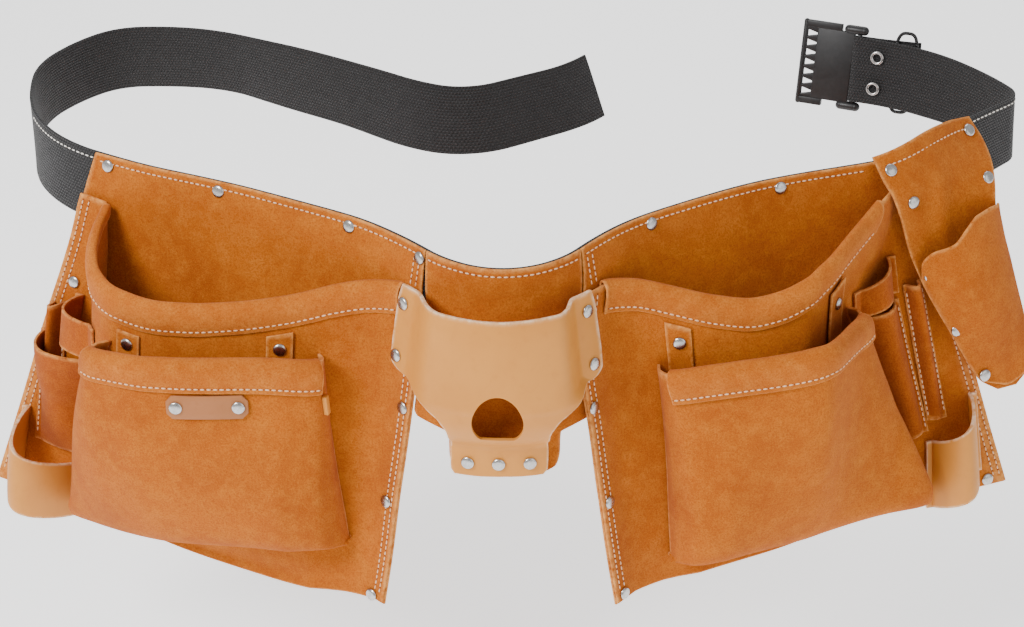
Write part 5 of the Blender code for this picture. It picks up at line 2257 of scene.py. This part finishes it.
@dataclass
class BucklePiece:
    """The black buckle at the strap's right end and the wire ring behind it."""

    shop: Workshop
    half: float = 31 * MM
    reach: float = 42.6 * MM
    wire: float = 1.3 * MM

    def bar(self, shape: Any, ends: tuple[Vector, Vector], radius: float) -> None:
        """Adds a round-ended bar between two places.

        Args:
            shape: The bmesh that takes it.
            ends: The middles of its two ends.
            radius: Its radius.
        """
        first, last = ends
        turn = (last - first).to_track_quat("Z", "Y").to_matrix().to_4x4()
        middle = Matrix.Translation((first + last) / 2) @ turn
        bmesh.ops.create_cone(
            shape,
            cap_ends=True,
            segments=BAR_SEGMENTS,
            radius1=radius,
            radius2=radius,
            depth=(last - first).length,
            matrix=middle,
        )
        for end in ends:
            bmesh.ops.create_uvsphere(
                shape,
                u_segments=BAR_SEGMENTS,
                v_segments=12,
                radius=radius,
                matrix=Matrix.Translation(end),
            )

    def block(self, shape: Any, low: Sequence[float], high: Sequence[float]) -> None:
        """Adds a block between two corners in millimetres.

        Args:
            shape: The bmesh that takes it.
            low: Its lowest corner in millimetres.
            high: Its highest corner in millimetres.
        """
        middle = Matrix.Translation([(a + b) / 2 * MM for a, b in zip(low, high)])
        size = Matrix.Diagonal((*((b - a) * MM for a, b in zip(low, high)), 1))
        bmesh.ops.create_cube(shape, size=1.0, matrix=middle @ size)

    def build(self) -> None:
        """Makes the buckle and the ring."""
        here, along, up, out = StrapPiece.end_frame()
        axes = Matrix((along, up, out)).transposed().to_4x4()
        seat = Matrix.Translation(here + out * FOLD_RADIUS) @ axes
        turn = seat @ Matrix.Rotation(math.radians(BUCKLE_LEAN), 4, "Y")
        shape = bmesh.new()
        ends = Vector((self.reach, -self.half, 0)), Vector((self.reach, self.half, 0))
        self.bar(shape, ends, 2.1 * MM)
        self.bar(shape, (Vector((0, -29 * MM, 0)), Vector((0, 29 * MM, 0))), 1.7 * MM)
        for side in (-1, 1):
            lobe = Vector((-3 * MM, side * 29.4 * MM, 0)), Vector((9 * MM, side * 29.4 * MM, 0))
            self.bar(shape, lobe, 3.5 * MM)
        self.block(shape, (14, 27.0, -2.3), (42, 32.4, 2.3))
        self.block(shape, (24, -32.4, -2.3), (42, -27.0, 2.3))
        self.block(shape, (3.6, -27.4, -2.0), (33, 27.4, 2.0))
        self.block(shape, (8, -27.0, 0.5), (29, 27.0, 3.0))
        for k in range(8):
            middle = mix(-26.2, 26.2, k / 7)
            tooth = [
                shape.verts.new(Vector((x, middle + y, z)) * MM)
                for z in (-1.4, 1.4)
                for x, y in ((32, -3.4), (32, 3.4), (42, 0.9), (42, -0.9))
            ]
            around = [(k, (k + 1) % 4, (k + 1) % 4 + 4, k + 4) for k in range(4)]
            for face in ((3, 2, 1, 0), (4, 5, 6, 7), *around):
                shape.faces.new([tooth[i] for i in face])
        shape.transform(turn)
        made = self.shop.keep("buckle_plastic", shape, Finish.PLASTIC, ("buckle_frame",))
        edges = made.modifiers.new("edges", "BEVEL")
        edges.width = 0.7 * MM
        edges.segments = 3
        edges.limit_method = "ANGLE"
        edges.angle_limit = math.radians(EDGE_ANGLE)
        self.shop.settle(made)
        ring = bmesh.new()
        path = []
        for k in range(48):
            angle = math.tau * k / 48
            x, y = math.cos(angle), math.sin(angle)
            high = 32 if y > 0 else 29
            across = math.copysign(abs(x) ** 0.6, x) * 8.4
            path.append(Vector((-36 + across, math.copysign(abs(y) ** 0.5, y) * high, 0)) * MM)
        for k, place in enumerate(path):
            self.bar(ring, (place, path[(k + 1) % 48]), self.wire)
        ring.transform(seat)
        self.shop.keep("keeper_ring_wire", ring, Finish.PLASTIC, ("keeper_ring",))


@dataclass(frozen=True)
class Lamp:
    """A soft studio lamp."""

    name: str
    place: tuple[float, float, float]
    size: float
    power: float

    def build(self) -> None:
        """Hangs the lamp and turns it to the belt."""
        data = bpy.data.lights.new(self.name, "AREA")
        data.size = self.size
        data.energy = self.power
        made = bpy.data.objects.new(self.name, data)
        made.location = self.place
        aim = Vector((0.0, 0.1, -0.08)) - made.location
        made.rotation_euler = aim.to_track_quat("-Z", "Y").to_euler()
        bpy.context.scene.collection.objects.link(made)


@dataclass(frozen=True)
class Studio:
    """Camera, floor, lamps and sky."""

    floor_height: float = -0.42
    lamps: tuple[Lamp, ...] = (
        Lamp("key", (-1.3, -1.0, 1.5), 0.8, 54.0),
        Lamp("fill", (1.5, -1.3, 0.8), 1.6, 9.0),
        Lamp("back", (0.2, 1.6, 1.5), 1.6, 18.0),
    )

    def build(self) -> None:
        """Sets up the room."""
        data = bpy.data.cameras.new("camera")
        data.lens = 84.375
        data.sensor_width = 36
        camera = bpy.data.objects.new("camera", data)
        camera.location = (0.00516, -1.3107, 0.8434)
        camera.rotation_euler = (math.radians(57), 0, 0)
        bpy.context.scene.collection.objects.link(camera)
        bpy.context.scene.camera = camera
        shape = bmesh.new()
        bmesh.ops.create_grid(shape, x_segments=8, y_segments=8, size=6)
        mesh = bpy.data.meshes.new("floor")
        shape.to_mesh(mesh)
        shape.free()
        floor = bpy.data.objects.new("floor", mesh)
        floor.location.z = self.floor_height
        bpy.context.scene.collection.objects.link(floor)
        made, _, shader = blank_material("floor")
        shader.inputs["Base Color"].default_value = (0.9, 0.9, 0.9, 1)
        shader.inputs["Emission Color"].default_value = (1, 1, 1, 1)
        shader.inputs["Emission Strength"].default_value = 1.0
        shader.inputs["Roughness"].default_value = 0.9
        mesh.materials.append(made)
        for lamp in self.lamps:
            lamp.build()
        world = bpy.data.worlds.new("sky")
        world.use_nodes = True
        world.node_tree.nodes["Background"].inputs["Color"].default_value = (1, 1, 1, 1)
        world.node_tree.nodes["Background"].inputs["Strength"].default_value = 0.6
        bpy.context.scene.world = world


def main() -> None:
    """Builds the belt on its solids."""
    logging.basicConfig(level=logging.INFO, format="%(name)s: %(message)s")
    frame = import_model()
    Studio().build()
    shop = Workshop()
    CentrePiece(shop).build_panel()
    CentrePiece(shop).build_holder()
    strap = StrapPiece(shop)
    strap.build()
    strap.sew()
    for hang in (LEFT_HANG, RIGHT_HANG):
        BagPiece(shop, hang).build()
    HolsterPiece(shop).build()
    HardwarePiece(shop, frame).build()


if __name__ == "__main__":
    main()
